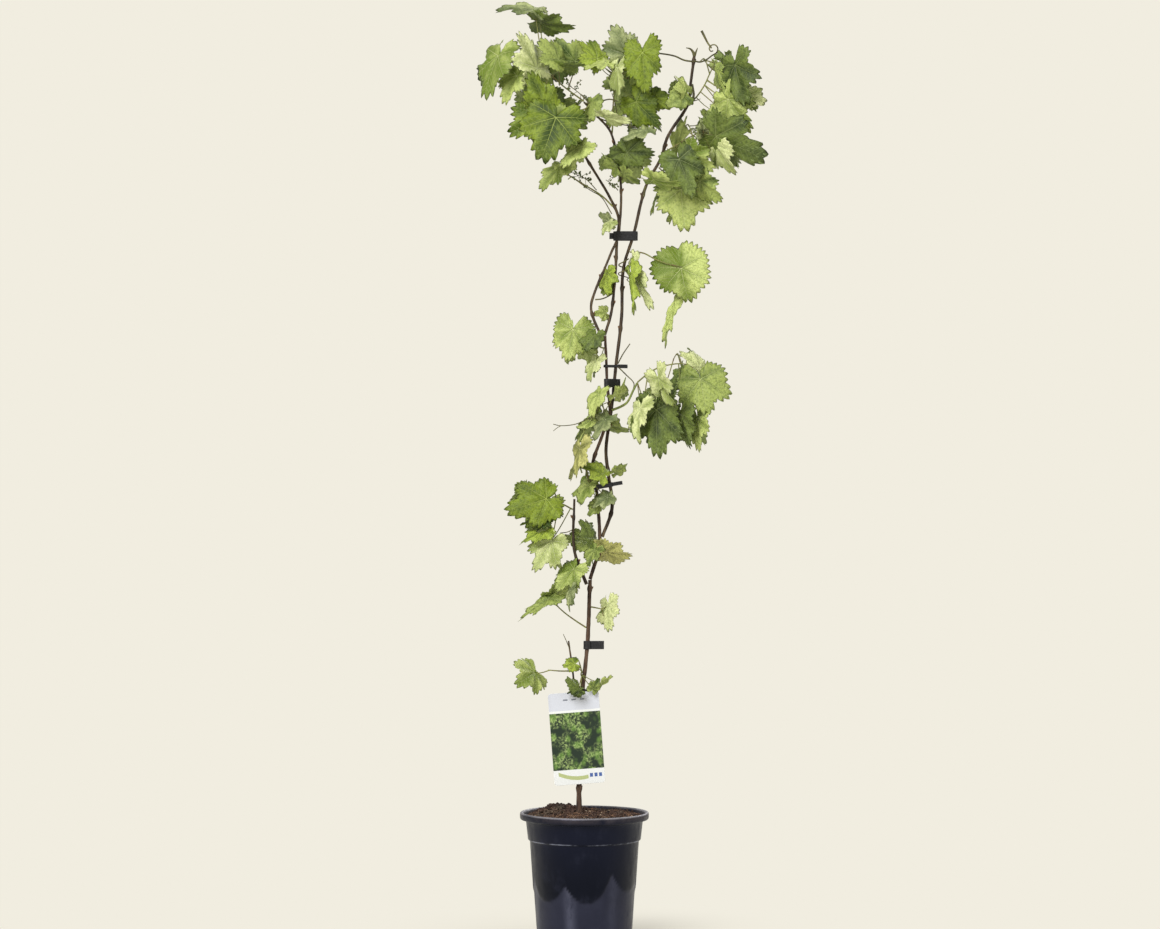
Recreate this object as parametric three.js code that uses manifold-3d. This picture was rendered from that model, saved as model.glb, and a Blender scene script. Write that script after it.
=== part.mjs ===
// A young grapevine in a round nursery pot, in millimetres, +Z up, seen from -Y
// The origin is at the centre of the pot's flat underside
import * as THREE from 'three';
import { mergeVertices } from 'three/addons/utils/BufferGeometryUtils.js';
import Module from 'manifold-3d';

const wasm = await Module();
wasm.setup();

const gap = 0.3;
const degree = Math.PI / 180;

// The pot: a tapered body, a step out to its collar and a rolled lip
const potSize = {
  segments: 28,
  height: 168,
  footRadius: 63.2,
  floor: 2.5,
  wall: 2,
  stepHeight: 129,
  stepRadius: 71.8,
  collarFoot: 74.5,
  collarTop: 77.6,
  lipRadius: 85,
  lipHeight: 9,
};

// The soil stands highest round the trunk's foot and falls a little towards the wall
const soilSize = { crown: 166.7, flatRadius: 14, edge: 163.2, edgeRadius: 76.6 };

// Limbs are six-sided, stems of masses four-sided and stalks three-sided
const limbSize = { sides: 6, step: 25, flare: 4.6 };
const stemSize = { sides: 4, step: 22, foot: 1.1, tip: 0.9 };
const twigSize = { sides: 4, step: 25, foot: 1, tip: 0.8 };
const stalkRadii = [0.75, 0.7, 0.65];
const stalkSides = 3;

// Leaves: width over length, the usual tip to the front and roll to the side, the thickness of small and
// large blades, and the narrowest that a rolled one and the shortest that a tipped one may look
const leafSize = { breadth: 1.25, pitch: 14, roll: 10, smallBelow: 27, thickFrom: 45, thin: 1.2, thick: 1.6 };
const leafView = { broadest: 1.38, edgeOn: 0.18, tippedOver: 0.3 };
const fullReach = 0.86;

// The twig behind a mass: where it leaves the stem, how much it rises, and how far its leaves spread
const behindRule = { start: 0.75, sway: 40, rise: 35, arch: 0.12, firstLeaf: 0.3, turnStep: 2.4, spread: 20 };
const behindLeaf = { length: 36, more: 18 };

// Half of a leaf's outline, from its tip to the notch at its stalk: degrees from the tip and share of length
const lobes = [
  [0, 1], [13, 0.8], [26, 0.6], [42, 0.73], [57, 0.76],
  [72, 0.62], [88, 0.52], [112, 0.6], [146, 0.46], [180, 0.08],
];
const smallLobes = [
  [0, 1], [24, 0.64], [54, 0.76], [84, 0.52], [122, 0.56], [180, 0.1],
];

// Each tie is a flat band bent round its stems, its loose end out to one side: the bore round each end stem,
// the span between them, the turn about Z that lines it up with them, and the lean of its plane
const tieWall = 1.3;
const tailWall = 1.8;
const ties = {
  tie_upper: { at: [54, -2, 927], turn: 0, lean: 0, span: 19.8, bore: 5, height: 12 },
  tie_second: { at: [35.2, 1.2, 755.6], turn: 22.8, lean: 0, span: 13.7, bore: 2.5, height: 3.5 },
  tie_third: { at: [34.6, 1.7, 733.4], turn: 37.6, lean: 0, span: 11.6, bore: 3, height: 11 },
  tie_fourth: { at: [24.3, 2.1, 597.7], turn: 18.8, lean: 9, span: 20.2, bore: 2.75, height: 6 },
  tie_lower: { at: [3.7, 0.5, 388], turn: 0, lean: 0, span: 0.6, bore: 3.45, height: 11 },
};

// Each loose end: its length, its height, and 1 or -1 for the side that it leaves by
const tieTails = {
  tie_upper: { tail: 5, tailHeight: 8, side: -1 },
  tie_second: { tail: 13, tailHeight: 5, side: 1 },
  tie_third: { tail: 6, tailHeight: 11, side: 1 },
  tie_fourth: { tail: 14, tailHeight: 5, side: 1 },
  tie_lower: { tail: 17, tailHeight: 11, side: 1 },
};

// The card hangs in front of the trunk, a little turned in its own plane, from a ring round the trunk
const card = { at: [-10.5, -8, 266], size: [67, 0.8, 121], turn: -4.3 };
const cardTab = { at: [-3, -7.2, 325.5], size: [14, 2.4, 9] };
const cardRing = { at: [-2.6, -2, 328.5], bore: 3.7, wall: 1.2, height: 3, segments: 12 };

const colours = {
  trunk: 0x7d6a48,
  cane: 0x8c8450,
  shoot: 0x97a05a,
  bright: 0x82a02d,
  deep: 0x4b5f1e,
  mid: 0x66822a,
  grey: 0x82966e,
  lime: 0xa0b94b,
  pale: 0xbccb78,
  olive: 0x8f9440,
  yellow: 0xb0a83e,
  pot: 0x14171c,
  soil: 0x3a2a20,
  tie: 0x151617,
  card: 0xe6e9e2,
};

// Each limb: the radii of its foot and tip, and the points that its middle line runs through
const limbs = {
  trunk: {
    colour: 'trunk',
    radii: [3.1, 2.5],
    route: [
      [-7.2, 0, 167.1], [-7.2, 0, 203.6], [-5.3, 0, 269.5], [-2.6, -2, 328.9], [1.3, -1, 361.8],
      [4.6, 1, 399.9], [5.9, 0, 434.2], [7.2, 0, 473.8],
    ],
  },
  leader: {
    colour: 'trunk',
    radii: [2.4, 1.8],
    route: [
      [7.3, -0.3, 474.8], [13.2, 1, 493.5], [19.1, 2, 510.6], [19.8, 0, 539.7], [17.8, -1, 570],
      [15.8, -1, 592.4], [10.5, -2, 624], [23, -4, 663.5], [33.6, -3, 696.5], [30.3, -2, 726.8],
      [28.3, -1, 770.3], [27, 0, 795.4],
    ],
  },
  left_shoot: {
    colour: 'cane',
    radii: [2.4, 1.5],
    route: [
      [2.8, -1.3, 468.3], [-1.3, -2, 477.8], [-5.3, -2.5, 488.3], [-9.9, -3, 498.9], [-13.8, -3, 516],
      [-14.8, -2, 539.7], [-13.8, -1, 563.4], [-13.4, 0, 580.5],
    ],
  },
  right_stem: {
    colour: 'cane',
    radii: [2.3, 1.9],
    route: [
      [23.4, 3.8, 530.5], [36.3, 6, 568.6], [31, 5, 616.1], [28.4, 6, 645.1], [36.3, 7, 704.5],
      [40.9, 4, 750.7], [48.8, 3, 819.2], [51.5, 4, 885.2], [64.6, 0, 928.5], [81.1, 1, 993.1],
      [100.8, 0, 1030], [110.1, 0, 1059], [136.5, 4, 1101.6], [139.8, 4, 1126.6], [145.1, 2, 1167.3],
    ],
  },
  straight_bough: {
    colour: 'cane',
    radii: [1.9, 1.7],
    route: [
      [26.6, -0.6, 796.5], [34.9, 2, 824.5], [38.9, 1, 856], [41.5, 0, 892.9], [42.8, 0, 921.9],
      [44.8, 0, 950.9], [32.3, -2, 979.7], [12.5, -4, 1012.5], [1.3, -5, 1030.8],
    ],
  },
  bowed_bough: {
    colour: 'cane',
    radii: [1.8, 1.4],
    route: [
      [24.3, -1.5, 788.2], [18.4, -4, 803.1], [12.5, -5, 816.2], [8.5, -6, 833.3], [14.5, -6, 855.7],
      [25.7, -6, 882], [35.5, -5.4, 905.7], [43.6, -4.2, 924.2], [47.4, -5, 954.5], [47.8, -2, 994.2],
      [43.5, 0, 1027.3], [33.6, 2, 1065.8], [16.5, 3, 1085.6], [-0.7, 2, 1104],
    ],
  },
  right_shoot: {
    colour: 'shoot',
    radii: [1.7, 1.3],
    route: [
      [36.1, -3.7, 697.6], [46.7, -5, 701.7], [55.9, -6, 707.6], [63.8, -7, 722.7], [69.1, -8, 733.2],
    ],
  },
  low_shoot: {
    colour: 'shoot',
    radii: [1.4, 1.1],
    route: [
      [-7.2, 0.4, 314.9], [-12.5, 0, 331.4], [-16.5, -2, 361.9], [-21.1, -2, 393.5],
    ],
  },
  hanging_shoot: {
    colour: 'shoot',
    radii: [1.2, 1],
    route: [
      [28.2, -3.1, 721.5], [21.7, -8, 706.9], [8.5, -10, 684.5], [-7.2, -10, 655.6], [-9.9, -9, 638.5],
      [-5.9, -8, 622.7], [-3.3, -8, 614.8],
    ],
  },
};

// Each mass: its stem, and a row for each leaf that shows: root x and z, tip x and z, width across as seen,
// depth y, how far along the stem its stalk leaves, and its form where it lies on its back, is broad or full.
// Behind them a rule grows more, on a twig of the given reach
const masses = {
  foliage_top_left: {
    tone: 'mid',
    stem: [[-0.8, 2.3, 1104.9], [-28.3, 0, 1124.9], [-41.5, -2, 1136.5], [-54.7, -4, 1141.5]],
    leaves: [
      [-69, 1212, -115, 1229, 17, -12, 1],
      [-60, 1216, -18, 1193, 34, -3, 1, { under: true }],
      [-92, 1148, -128, 1105, 69, -24, 1],
      [-83, 1134, -107, 1105, 42, -14, 0.9],
      [-73, 1144, -84, 1190, 36, 17, 1],
      [-30, 1156, -60, 1180, 26, 10, 0.6],
      [-12, 1156, -42, 1185, 40, 4, 0.4],
      [-36, 1143, 3, 1147, 22, -28, 0.8],
    ],
    behind: { reach: 85, count: 4, seed: 22, skip: [] },
  },
  foliage_left_front: {
    tone: 'bright',
    stem: [[5.2, 0.8, 1096.1], [-12.5, -12, 1089.3], [-32.2, -20, 1083.2]],
    leaves: [
      [-54, 1082, -101, 1058, 61, -34, 1],
      [-52, 1086, -66, 1132, 53, -16, 1],
      [-44, 1074, -67, 1018, 82, -79, 1, { broad: true }],
      [-29, 1076, 2, 1066, 37, -41, 1],
      [-3, 1038, -31, 1016, 24, -26, 0.8],
      [10, 1102, 10, 1074, 22, 13, 0],
    ],
    behind: { reach: 95, count: 4, seed: 32, skip: [1] },
  },
  foliage_left_low: {
    tone: 'deep',
    stem: [
      [37.1, -3.1, 966], [23, -8, 979.2], [-2, -12, 994.7], [-19.1, -14, 1005],
      [-28.3, -14, 1011.6],
    ],
    leaves: [
      [-31, 1013, -49, 982, 32, -16, 1],
    ],
    behind: { reach: 30, count: 1, seed: 31, skip: [] },
  },
  foliage_centre_top: {
    tone: 'bright',
    stem: [[35.9, 3.7, 1059.8], [37.1, 8, 1071.7], [39, 9, 1112.7], [48.2, 4, 1146.4]],
    leaves: [
      [65, 1166, 48, 1203, 58, -1, 1],
      [65, 1160, 80, 1116, 55, -18, 1],
      [48, 1156, 39, 1109, 24, -4, 0.9],
      [28, 1162, -1, 1186, 37, 6, 0.9],
    ],
    behind: { reach: 100, count: 4, seed: 48, skip: [] },
  },
  foliage_centre: {
    tone: 'olive',
    stem: [
      [49.3, -0.5, 1000.7], [57.3, -4, 1020.4], [59.9, -4, 1046.7], [59.9, -4, 1079.6],
      [57.3, -5, 1101.9],
    ],
    leaves: [
      [58, 1105, 93, 1070, 55, -10, 1],
      [84, 1109, 109, 1093, 29, -4, 0.9],
      [27, 1083, 64, 1070, 13, -23, 0.8],
      [81, 1064, 49, 1056, 16, -21, 0.6],
      [56, 1036, 93, 1033, 42, -14, 0.4],
      [49, 1037, 32, 1029, 26, -2, 0.4],
    ],
    behind: { reach: 80, count: 3, seed: 56, skip: [] },
  },
  foliage_tip: {
    tone: 'pale',
    stem: [[134.2, 3.4, 1108.4], [129.8, 0, 1109], [127.1, -3, 1110]],
    leaves: [
      [134, 1117, 117, 1140, 24, -11, 1],
      [130, 1110, 108, 1098, 32, 10, 1],
    ],
    behind: { reach: 35, count: 1, seed: 62, skip: [] },
  },
  foliage_right_high: {
    tone: 'lime',
    stem: [
      [137.8, 4, 1102.9], [145.8, 4, 1108.8], [157.5, 0, 1124.9], [165.3, -4, 1141.5],
      [171.8, -6, 1154.4],
    ],
    leaves: [
      [175, 1155, 200, 1096, 50, -9, 1],
      [174, 1151, 180, 1090, 12, -4, 0.9],
      [187, 1102, 225, 1064, 45, 4, 0.5],
      [203, 1112, 236, 1100, 26, 18, 0.6],
    ],
    behind: { reach: 95, count: 4, seed: 72, skip: [] },
  },
  foliage_right: {
    tone: 'deep',
    stem: [[105.3, -1.2, 1037.4], [119, -10, 1044.8], [138.4, -20, 1055.6], [155.2, -26, 1062.9]],
    leaves: [
      [165, 1058, 239, 1020, 76, -31, 1],
      [172, 1048, 190, 1005, 32, -49, 1],
      [122, 1046, 138, 1089, 18, 21, 0.5],
    ],
    behind: { reach: 80, count: 3, seed: 113, skip: [] },
  },
  foliage_right_low: {
    tone: 'grey',
    stem: [[87.8, -1.7, 1004.9], [96.7, -8, 1000.3], [104.5, -12, 997.3]],
    leaves: [
      [121, 1028, 140, 977, 58, -24, 1],
      [152, 999, 178, 971, 32, -10, 1],
      [90, 999, 130, 986, 18, -33, 0.5],
      [135, 980, 136, 931, 71, 13, 1, { broad: true }],
      [138, 1035, 167, 1010, 34, -7, 0.9],
    ],
    behind: { reach: 95, count: 3, seed: 98, skip: [] },
  },
  foliage_tie: {
    tone: 'olive',
    stem: [[42.4, -0.5, 945.1], [36.2, -5, 943.9]],
    leaves: [
      [35, 945, 19, 958, 16, -3, 1],
      [34, 942, 19, 927, 13, -25, 1],
    ],
  },
  leaf_round: {
    tone: 'pale',
    stem: [
      [59.8, 2.2, 906.2], [77.1, -2, 904.6], [92.8, -5, 896.5], [109.8, -9, 889.7],
      [128.1, -12, 885.6],
    ],
    leaves: [
      [135, 886, 132, 842, 75, -11, 1, { broad: true, full: true }],
      [125, 842, 101, 776, 16, 2, 0.9],
    ],
  },
  leaves_hanging: {
    tone: 'pale',
    stem: [[54, 2.5, 884.4], [58.7, 0, 887.6], [62.6, -2, 888.8]],
    leaves: [
      [62, 879, 65, 820, 18, -5, 1],
      [65, 893, 84, 828, 24, -1, 1],
    ],
  },
  leaf_yellow: {
    tone: 'yellow',
    stem: [[37.9, 0.3, 874.5], [32.3, -1, 879.7]],
    leaves: [
      [28, 882, 28, 852, 18, 0, 1],
    ],
  },
  leaf_olive: {
    tone: 'olive',
    stem: [[31.5, 1.7, 822.8], [29.7, 3, 824.5]],
    leaves: [
      [28, 826, 14, 825, 22, 5, 1],
    ],
  },
  foliage_right_mid: {
    tone: 'mid',
    stem: [
      [69.5, -8.3, 734], [86.1, -10, 747.6], [104.5, -12, 755.5], [130.8, -12, 758.1],
      [147.8, -14, 750.1],
    ],
    leaves: [
      [153, 745, 163, 686, 74, -26, 1],
      [98, 697, 99, 633, 66, -30, 0.3],
      [73, 699, 64, 658, 26, -34, 0.2],
      [127, 691, 131, 646, 26, -21, 0.7],
      [148, 687, 149, 644, 29, -9, 0.8],
      [152, 753, 130, 777, 24, 8, 1],
      [93, 745, 114, 704, 45, 8, 0.4],
    ],
    behind: { reach: 85, count: 4, seed: 121, skip: [] },
  },
  leaves_knot: {
    tone: 'deep',
    stem: [[25.6, -2.1, 779.4], [20.4, -7, 780.6], [13.8, -9, 787.1]],
    leaves: [
      [-3, 808, -20, 758, 58, 2, 1],
      [22, 799, 1, 780, 29, -12, 1],
      [19, 766, 5, 736, 17, -1, 1],
    ],
    behind: { reach: 40, count: 1, seed: 130, skip: [] },
  },
  leaves_mid: {
    tone: 'lime',
    stem: [[30.6, -3.3, 696.4], [25.6, -9, 696.4]],
    leaves: [
      [28, 725, 8, 695, 25, -23, 1],
      [41, 716, 57, 736, 16, -10, 0.8],
      [26, 692, 7, 661, 24, -27, 1],
      [31, 679, 58, 670, 20, 24, 1],
    ],
    behind: { reach: 45, count: 2, seed: 131, skip: [] },
  },
  leaves_lower_mid: {
    tone: 'grey',
    stem: [[10.1, -3.3, 611], [6.6, -7, 609.6], [4.6, -10, 604.3]],
    leaves: [
      [3, 646, -14, 607, 25, -32, 1],
      [26, 607, 2, 623, 26, -20, 0.6],
      [5, 599, -10, 577, 20, -12, 1],
      [32, 588, 8, 575, 24, -18, 0.6],
    ],
    behind: { reach: 45, count: 2, seed: 137, skip: [] },
  },
  foliage_left: {
    tone: 'deep',
    stem: [[-15.7, -1.1, 566.9], [-32.2, -8, 575.4], [-42.7, -12, 578]],
    leaves: [
      [-52, 581, -102, 565, 69, -22, 1],
      [-40, 565, -82, 547, 29, 0, 0.9],
      [-52, 539, -86, 528, 20, -14, 0.8],
      [-30, 528, -60, 486, 47, -18, 0.7],
    ],
    behind: { reach: 60, count: 3, seed: 146, skip: [0] },
  },
  leaves_fork_right: {
    tone: 'deep',
    stem: [[17.1, -0.3, 519.9], [11.2, -5, 520], [7.2, -7, 522.7]],
    leaves: [
      [5, 524, -31, 528, 24, 20, 1],
      [15, 515, -2, 491, 24, -24, 0.6],
      [12, 529, -1, 553, 17, -6, 0.8],
    ],
    behind: { reach: 40, count: 1, seed: 150, skip: [] },
  },
  leaves_fork_left: {
    tone: 'mid',
    stem: [[-8, -3.5, 488.5], [-13.8, -8, 487.2], [-17.8, -10, 486]],
    leaves: [
      [-10, 490, -35, 464, 32, -20, 1],
      [-19, 484, -40, 474, 18, -6, 1],
      [-18, 461, -24, 431, 14, -34, 1],
    ],
    behind: { reach: 35, count: 1, seed: 155, skip: [] },
  },
  leaf_drooping: {
    tone: 'deep',
    stem: [[2.1, -1.2, 411.2], [-11.2, -5, 420], [-25.7, -8, 430.6], [-38.8, -10, 442.6]],
    leaves: [
      [-47, 449, -90, 423, 32, -18, 1],
      [-43, 451, -15, 472, 24, -4, 0.9],
    ],
  },
  leaf_right_yellow: {
    tone: 'olive',
    stem: [[21.8, 1.4, 517.4], [27, 0, 514.6]],
    leaves: [
      [28, 511, 64, 504, 29, -2, 1],
    ],
  },
  leaf_right_pale: {
    tone: 'lime',
    stem: [[9, 0.1, 438.3], [16.5, -2, 437], [23, -3, 435.7]],
    leaves: [
      [26, 434, 47, 434, 43, -4, 1],
    ],
  },
  leaf_low_left: {
    tone: 'bright',
    stem: [[-17.1, -1.7, 354], [-32.3, -4, 354.1], [-48, -6, 355.5]],
    leaves: [
      [-56, 354, -84, 336, 55, -10, 1],
    ],
  },
  leaves_low: {
    tone: 'yellow',
    stem: [[-3.4, -4.2, 346.4], [-4.6, -9, 350.5], [-3.3, -12, 354.6]],
    leaves: [
      [-7, 364, -30, 361, 24, -14, 1],
      [7, 330, 16, 345, 17, -16, 0.4],
    ],
    behind: { reach: 35, count: 1, seed: 179, skip: [] },
  },
};

// Closed solids from three.js geometry, and back again

function solid(geometry) {
  const plain = geometry.clone();
  plain.deleteAttribute('normal');
  plain.deleteAttribute('uv');
  const merged = mergeVertices(plain, 1e-4);
  return new wasm.Manifold(new wasm.Mesh({
    numProp: 3,
    vertProperties: new Float32Array(merged.attributes.position.array),
    triVerts: new Uint32Array(merged.index.array),
  }));
}

function surface(body) {
  const mesh = body.getMesh();
  const geometry = new THREE.BufferGeometry();
  geometry.setAttribute('position', new THREE.BufferAttribute(new Float32Array(mesh.vertProperties), 3));
  geometry.setIndex(new THREE.BufferAttribute(new Uint32Array(mesh.triVerts), 1));
  geometry.computeVertexNormals();
  return geometry;
}

// A shell of revolution from [radius, height] pairs that start and end on the axis, or close on themselves
function turned(profile, segments) {
  const points = profile.map(([radius, height]) => new THREE.Vector2(radius, height));
  return new THREE.LatheGeometry(points, segments).rotateX(Math.PI / 2);
}

// Even steps along the smooth curve through a route's points
function spaced(route, step) {
  const points = route.map((point) => new THREE.Vector3(...point));
  const curve = new THREE.CatmullRomCurve3(points, false, 'centripetal');
  return curve.getSpacedPoints(Math.max(1, Math.round(curve.getLength() / step)));
}

function partWay(centres, share) {
  const place = share * (centres.length - 1);
  const k = Math.min(centres.length - 2, Math.floor(place));
  return centres[k].clone().lerp(centres[k + 1], place - k);
}

// A tube with a ring of corners at each centre: a cylinder of as many bands, moved ring by ring to its place
function tube(centres, radii, sides) {
  const last = centres.length - 1;
  const geometry = new THREE.CylinderGeometry(1, 1, 1, sides, last);
  const position = geometry.attributes.position;
  const rings = [];
  let across = new THREE.Vector3(0.83, 0.55, 0.1);
  for (let k = 0; k <= last; k += 1) {
    const along = centres[Math.min(last, k + 1)].clone().sub(centres[Math.max(0, k - 1)]).normalize();
    across = across.clone().addScaledVector(along, -across.dot(along)).normalize();
    rings.push({ across, beside: along.clone().cross(across) });
  }
  const corner = new THREE.Vector3();
  for (let i = 0; i < position.count; i += 1) {
    corner.fromBufferAttribute(position, i);
    const k = Math.round((corner.y + 0.5) * last);
    const point = centres[k].clone();
    point.addScaledVector(rings[k].beside, corner.x * radii[k]);
    point.addScaledVector(rings[k].across, corner.z * radii[k]);
    position.setXYZ(i, ...point.toArray());
  }
  return geometry;
}

function tapered(route, size) {
  const centres = spaced(route, size.step);
  const radii = centres.map((_, k) => size.foot + ((size.tip - size.foot) * k) / (centres.length - 1));
  if (size.flare) {
    radii[0] = size.flare;
  }
  return tube(centres, radii, size.sides);
}

// A leaf as it is placed in space, from how long and wide it looks in front: a narrow one has rolled on edge,
// a short one tips its point to the front
function placedLeaf([rootX, rootZ, tipX, tipZ, width, y, , form = {}]) {
  const run = Math.hypot(tipX - rootX, tipZ - rootZ);
  const ratio = width / run;
  const leaf = {
    at: [rootX, y, rootZ],
    turn: 0,
    heading: Math.atan2(tipX - rootX, tipZ - rootZ) / degree,
    pitch: leafSize.pitch,
    roll: leafSize.roll,
    length: run / Math.cos(leafSize.pitch * degree),
    wide: 1,
    full: form.full ? 1 : 0,
  };
  if (ratio < 1) {
    leaf.roll = Math.acos(Math.max(leafView.edgeOn, ratio / leafSize.breadth)) / degree;
  } else if (ratio > leafView.broadest && !form.broad) {
    leaf.pitch = Math.acos(Math.max(leafView.tippedOver, leafSize.breadth / ratio)) / degree;
    leaf.length = width / leafSize.breadth;
  } else {
    leaf.wide = ratio / leafSize.breadth;
  }
  if (form.under) {
    leaf.roll = 180 - leaf.roll;
  }
  return leaf;
}

function leafMatrix(leaf) {
  const matrix = new THREE.Matrix4().makeRotationZ(leaf.turn * degree);
  matrix.multiply(new THREE.Matrix4().makeRotationY(leaf.heading * degree));
  matrix.multiply(new THREE.Matrix4().makeRotationX(leaf.pitch * degree));
  matrix.multiply(new THREE.Matrix4().makeRotationZ(leaf.roll * degree));
  return matrix.setPosition(...leaf.at);
}

// A thin lobed blade with a sharp rim: a sphere of two bands, flattened, its waist drawn out to the lobes
function blade(leaf) {
  const half = leaf.length < leafSize.smallBelow ? smallLobes : lobes;
  const mirrored = half.slice(1, -1).reverse().map(([angle, reach]) => [360 - angle, reach]);
  const rim = [...half, ...mirrored];
  const thickness = leaf.length < leafSize.thickFrom ? leafSize.thin : leafSize.thick;
  const geometry = new THREE.SphereGeometry(1, rim.length, 2);
  const position = geometry.attributes.position;
  const corner = new THREE.Vector3();
  for (let i = 0; i < position.count; i += 1) {
    corner.fromBufferAttribute(position, i);
    if (Math.abs(corner.y) > 0.5) {
      position.setXYZ(i, 0, 0.01 * leaf.length + 0.5 * thickness * corner.y, 0.22 * leaf.length);
      continue;
    }
    const turn = Math.atan2(corner.x, corner.z) / (2 * Math.PI);
    const lobe = Math.round((turn + 1.25) * rim.length) % rim.length;
    const angle = rim[lobe][0] * degree;
    const reach = rim[lobe][1] + (fullReach - rim[lobe][1]) * 0.7 * leaf.full;
    const droop = 0.16 * reach * reach + 0.05 * Math.sin(2 * angle + leaf.length) * reach;
    position.setXYZ(
      i,
      leaf.length * leaf.wide * reach * Math.sin(angle),
      leaf.length * droop,
      leaf.length * reach * Math.cos(angle),
    );
  }
  return geometry;
}

// A leaf on its stalk, which comes from behind into the thick middle of the blade
function leafOn(from, leaf) {
  const matrix = leafMatrix(leaf);
  const { length } = leaf;
  const into = new THREE.Vector3(0.03 * length, 0.008 * length, 0.12 * length).applyMatrix4(matrix);
  const behind = new THREE.Vector3(0.03 * length, 3.4, 0.05 * length).applyMatrix4(matrix);
  const stalk = tube([from, behind, into], stalkRadii, stalkSides);
  return solid(blade(leaf).applyMatrix4(matrix)).add(solid(stalk));
}

function random(seed) {
  let state = seed;
  return () => {
    state = (state * 1664525 + 1013904223) % 4294967296;
    return state / 4294967296;
  };
}

// The rule that fills a mass out behind the leaves that show: a twig runs back from the stem, and its leaves
// stand round it in turn, each facing away from it; a leaf that would touch a limb or another is skipped
function twigBehind(stem, { reach, count, seed, skip }) {
  const next = random(seed);
  const rule = behindRule;
  const start = partWay(stem, rule.start);
  const end = start.clone();
  end.x += rule.sway * (next() - 0.5);
  end.y += reach;
  end.z += rule.rise * next();
  const middle = start.clone().lerp(end, 0.5);
  middle.z += rule.arch * reach;
  const route = [start.toArray(), middle.toArray(), end.toArray()];
  const centres = spaced(route, twigSize.step);
  let body = solid(tapered(route, twigSize));
  for (let k = 0; k < count; k += 1) {
    const share = rule.firstLeaf + (0.67 * (k + 1)) / count;
    const round = rule.turnStep * k + 6.28 * next();
    const out = rule.spread + 14 * next();
    const node = partWay(centres, Math.min(0.95, share));
    const side = Math.cos(round) > 0 ? 1 : -1;
    const leaf = {
      at: [node.x + out * Math.cos(round), node.y + 12 * next(), node.z + 0.7 * out * Math.sin(round)],
      turn: side * (60 + 110 * next()),
      heading: 150 + 60 * next(),
      pitch: 20 + 30 * next(),
      roll: 30 * (next() - 0.5),
      length: behindLeaf.length + behindLeaf.more * next(),
      wide: 1,
      full: 0,
    };
    if (!skip.includes(k)) {
      body = body.add(leafOn(node, leaf));
    }
  }
  return body;
}

// One mass: a stem, the leaves that show on it, and its twig behind
function massBody({ stem, leaves, behind }) {
  const centres = spaced(stem, stemSize.step);
  let body = solid(tapered(stem, stemSize));
  for (const row of leaves) {
    const share = THREE.MathUtils.clamp(row[6], 0.2, 0.92);
    body = body.add(leafOn(partWay(centres, share), placedLeaf(row)));
  }
  if (behind) {
    body = body.add(twigBehind(centres, behind));
  }
  return body.simplify(0.05);
}

function potShape() {
  const { height, footRadius, floor, wall, stepHeight, stepRadius } = potSize;
  const { collarFoot, collarTop, lipRadius } = potSize;
  const lipFoot = height - potSize.lipHeight;
  return turned([
    [0, 0], [footRadius - 1, 0], [footRadius, 1.5],
    [stepRadius, stepHeight - 1], [collarFoot - 0.4, stepHeight + 1.5], [collarFoot, stepHeight + 3],
    [collarTop, lipFoot - 2], [lipRadius - 1, lipFoot], [lipRadius, lipFoot + 2],
    [lipRadius, height - 2], [lipRadius - 1.4, height], [lipRadius - 3.8, height - 0.4],
    [collarTop - 1.8, height - 8], [collarTop - wall, height - 10],
    [collarFoot - 2.2, stepHeight + 2], [stepRadius - wall, stepHeight - 2],
    [footRadius - 1.9, floor], [0, floor],
  ], potSize.segments);
}

// The soil fills the pot to just inside its wall, with a top that rises and falls outside its flat middle
function soilShape() {
  const { crown, flatRadius, edge, edgeRadius } = soilSize;
  const { floor, wall, footRadius, stepHeight, stepRadius, collarFoot, collarTop, height } = potSize;
  const geometry = turned([
    [0, floor + gap], [footRadius - 2.3, floor + gap], [stepRadius - wall - 0.4, stepHeight - 2],
    [collarFoot - 2.6, stepHeight + 2.3], [collarTop - wall - gap, height - 10],
    [collarTop - wall, height - 7.4], [edgeRadius, edge],
    [60, crown - 1.2], [38, crown - 0.5], [flatRadius, crown], [0, crown],
  ], potSize.segments);
  const position = geometry.attributes.position;
  for (let i = 0; i < position.count; i += 1) {
    const reach = Math.hypot(position.getX(i), position.getY(i));
    const round = Math.atan2(position.getY(i), position.getX(i));
    if (position.getZ(i) > edge - 1 && reach > flatRadius + 6) {
      const swell = 0.9 + 0.5 * Math.sin(3 * round + 1) + 0.4 * Math.sin(7 * round);
      position.setZ(i, position.getZ(i) + (swell * reach) / edgeRadius);
    }
  }
  return geometry;
}

function tieShape({ span, bore, height, tail, tailHeight, side }) {
  const loop = (radius, path) => {
    path.absarc(span / 2, 0, radius, -Math.PI / 2, Math.PI / 2, false);
    path.absarc(-span / 2, 0, radius, Math.PI / 2, 1.5 * Math.PI, false);
    path.closePath();
    return path;
  };
  const section = loop(bore + tieWall, new THREE.Shape());
  section.holes.push(loop(bore, new THREE.Path()));
  const band = new THREE.ExtrudeGeometry(section, { depth: height, bevelEnabled: false, curveSegments: 3 });
  band.translate(0, 0, -height / 2);
  const end = span / 2 + bore + tieWall;
  const sunk = 0.4;
  const loose = new THREE.BoxGeometry(tail + 2 * sunk, tailWall, tailHeight);
  loose.translate(side * (end + tail / 2 - sunk), 0, 0);
  return surface(solid(band).add(solid(loose)));
}

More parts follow.
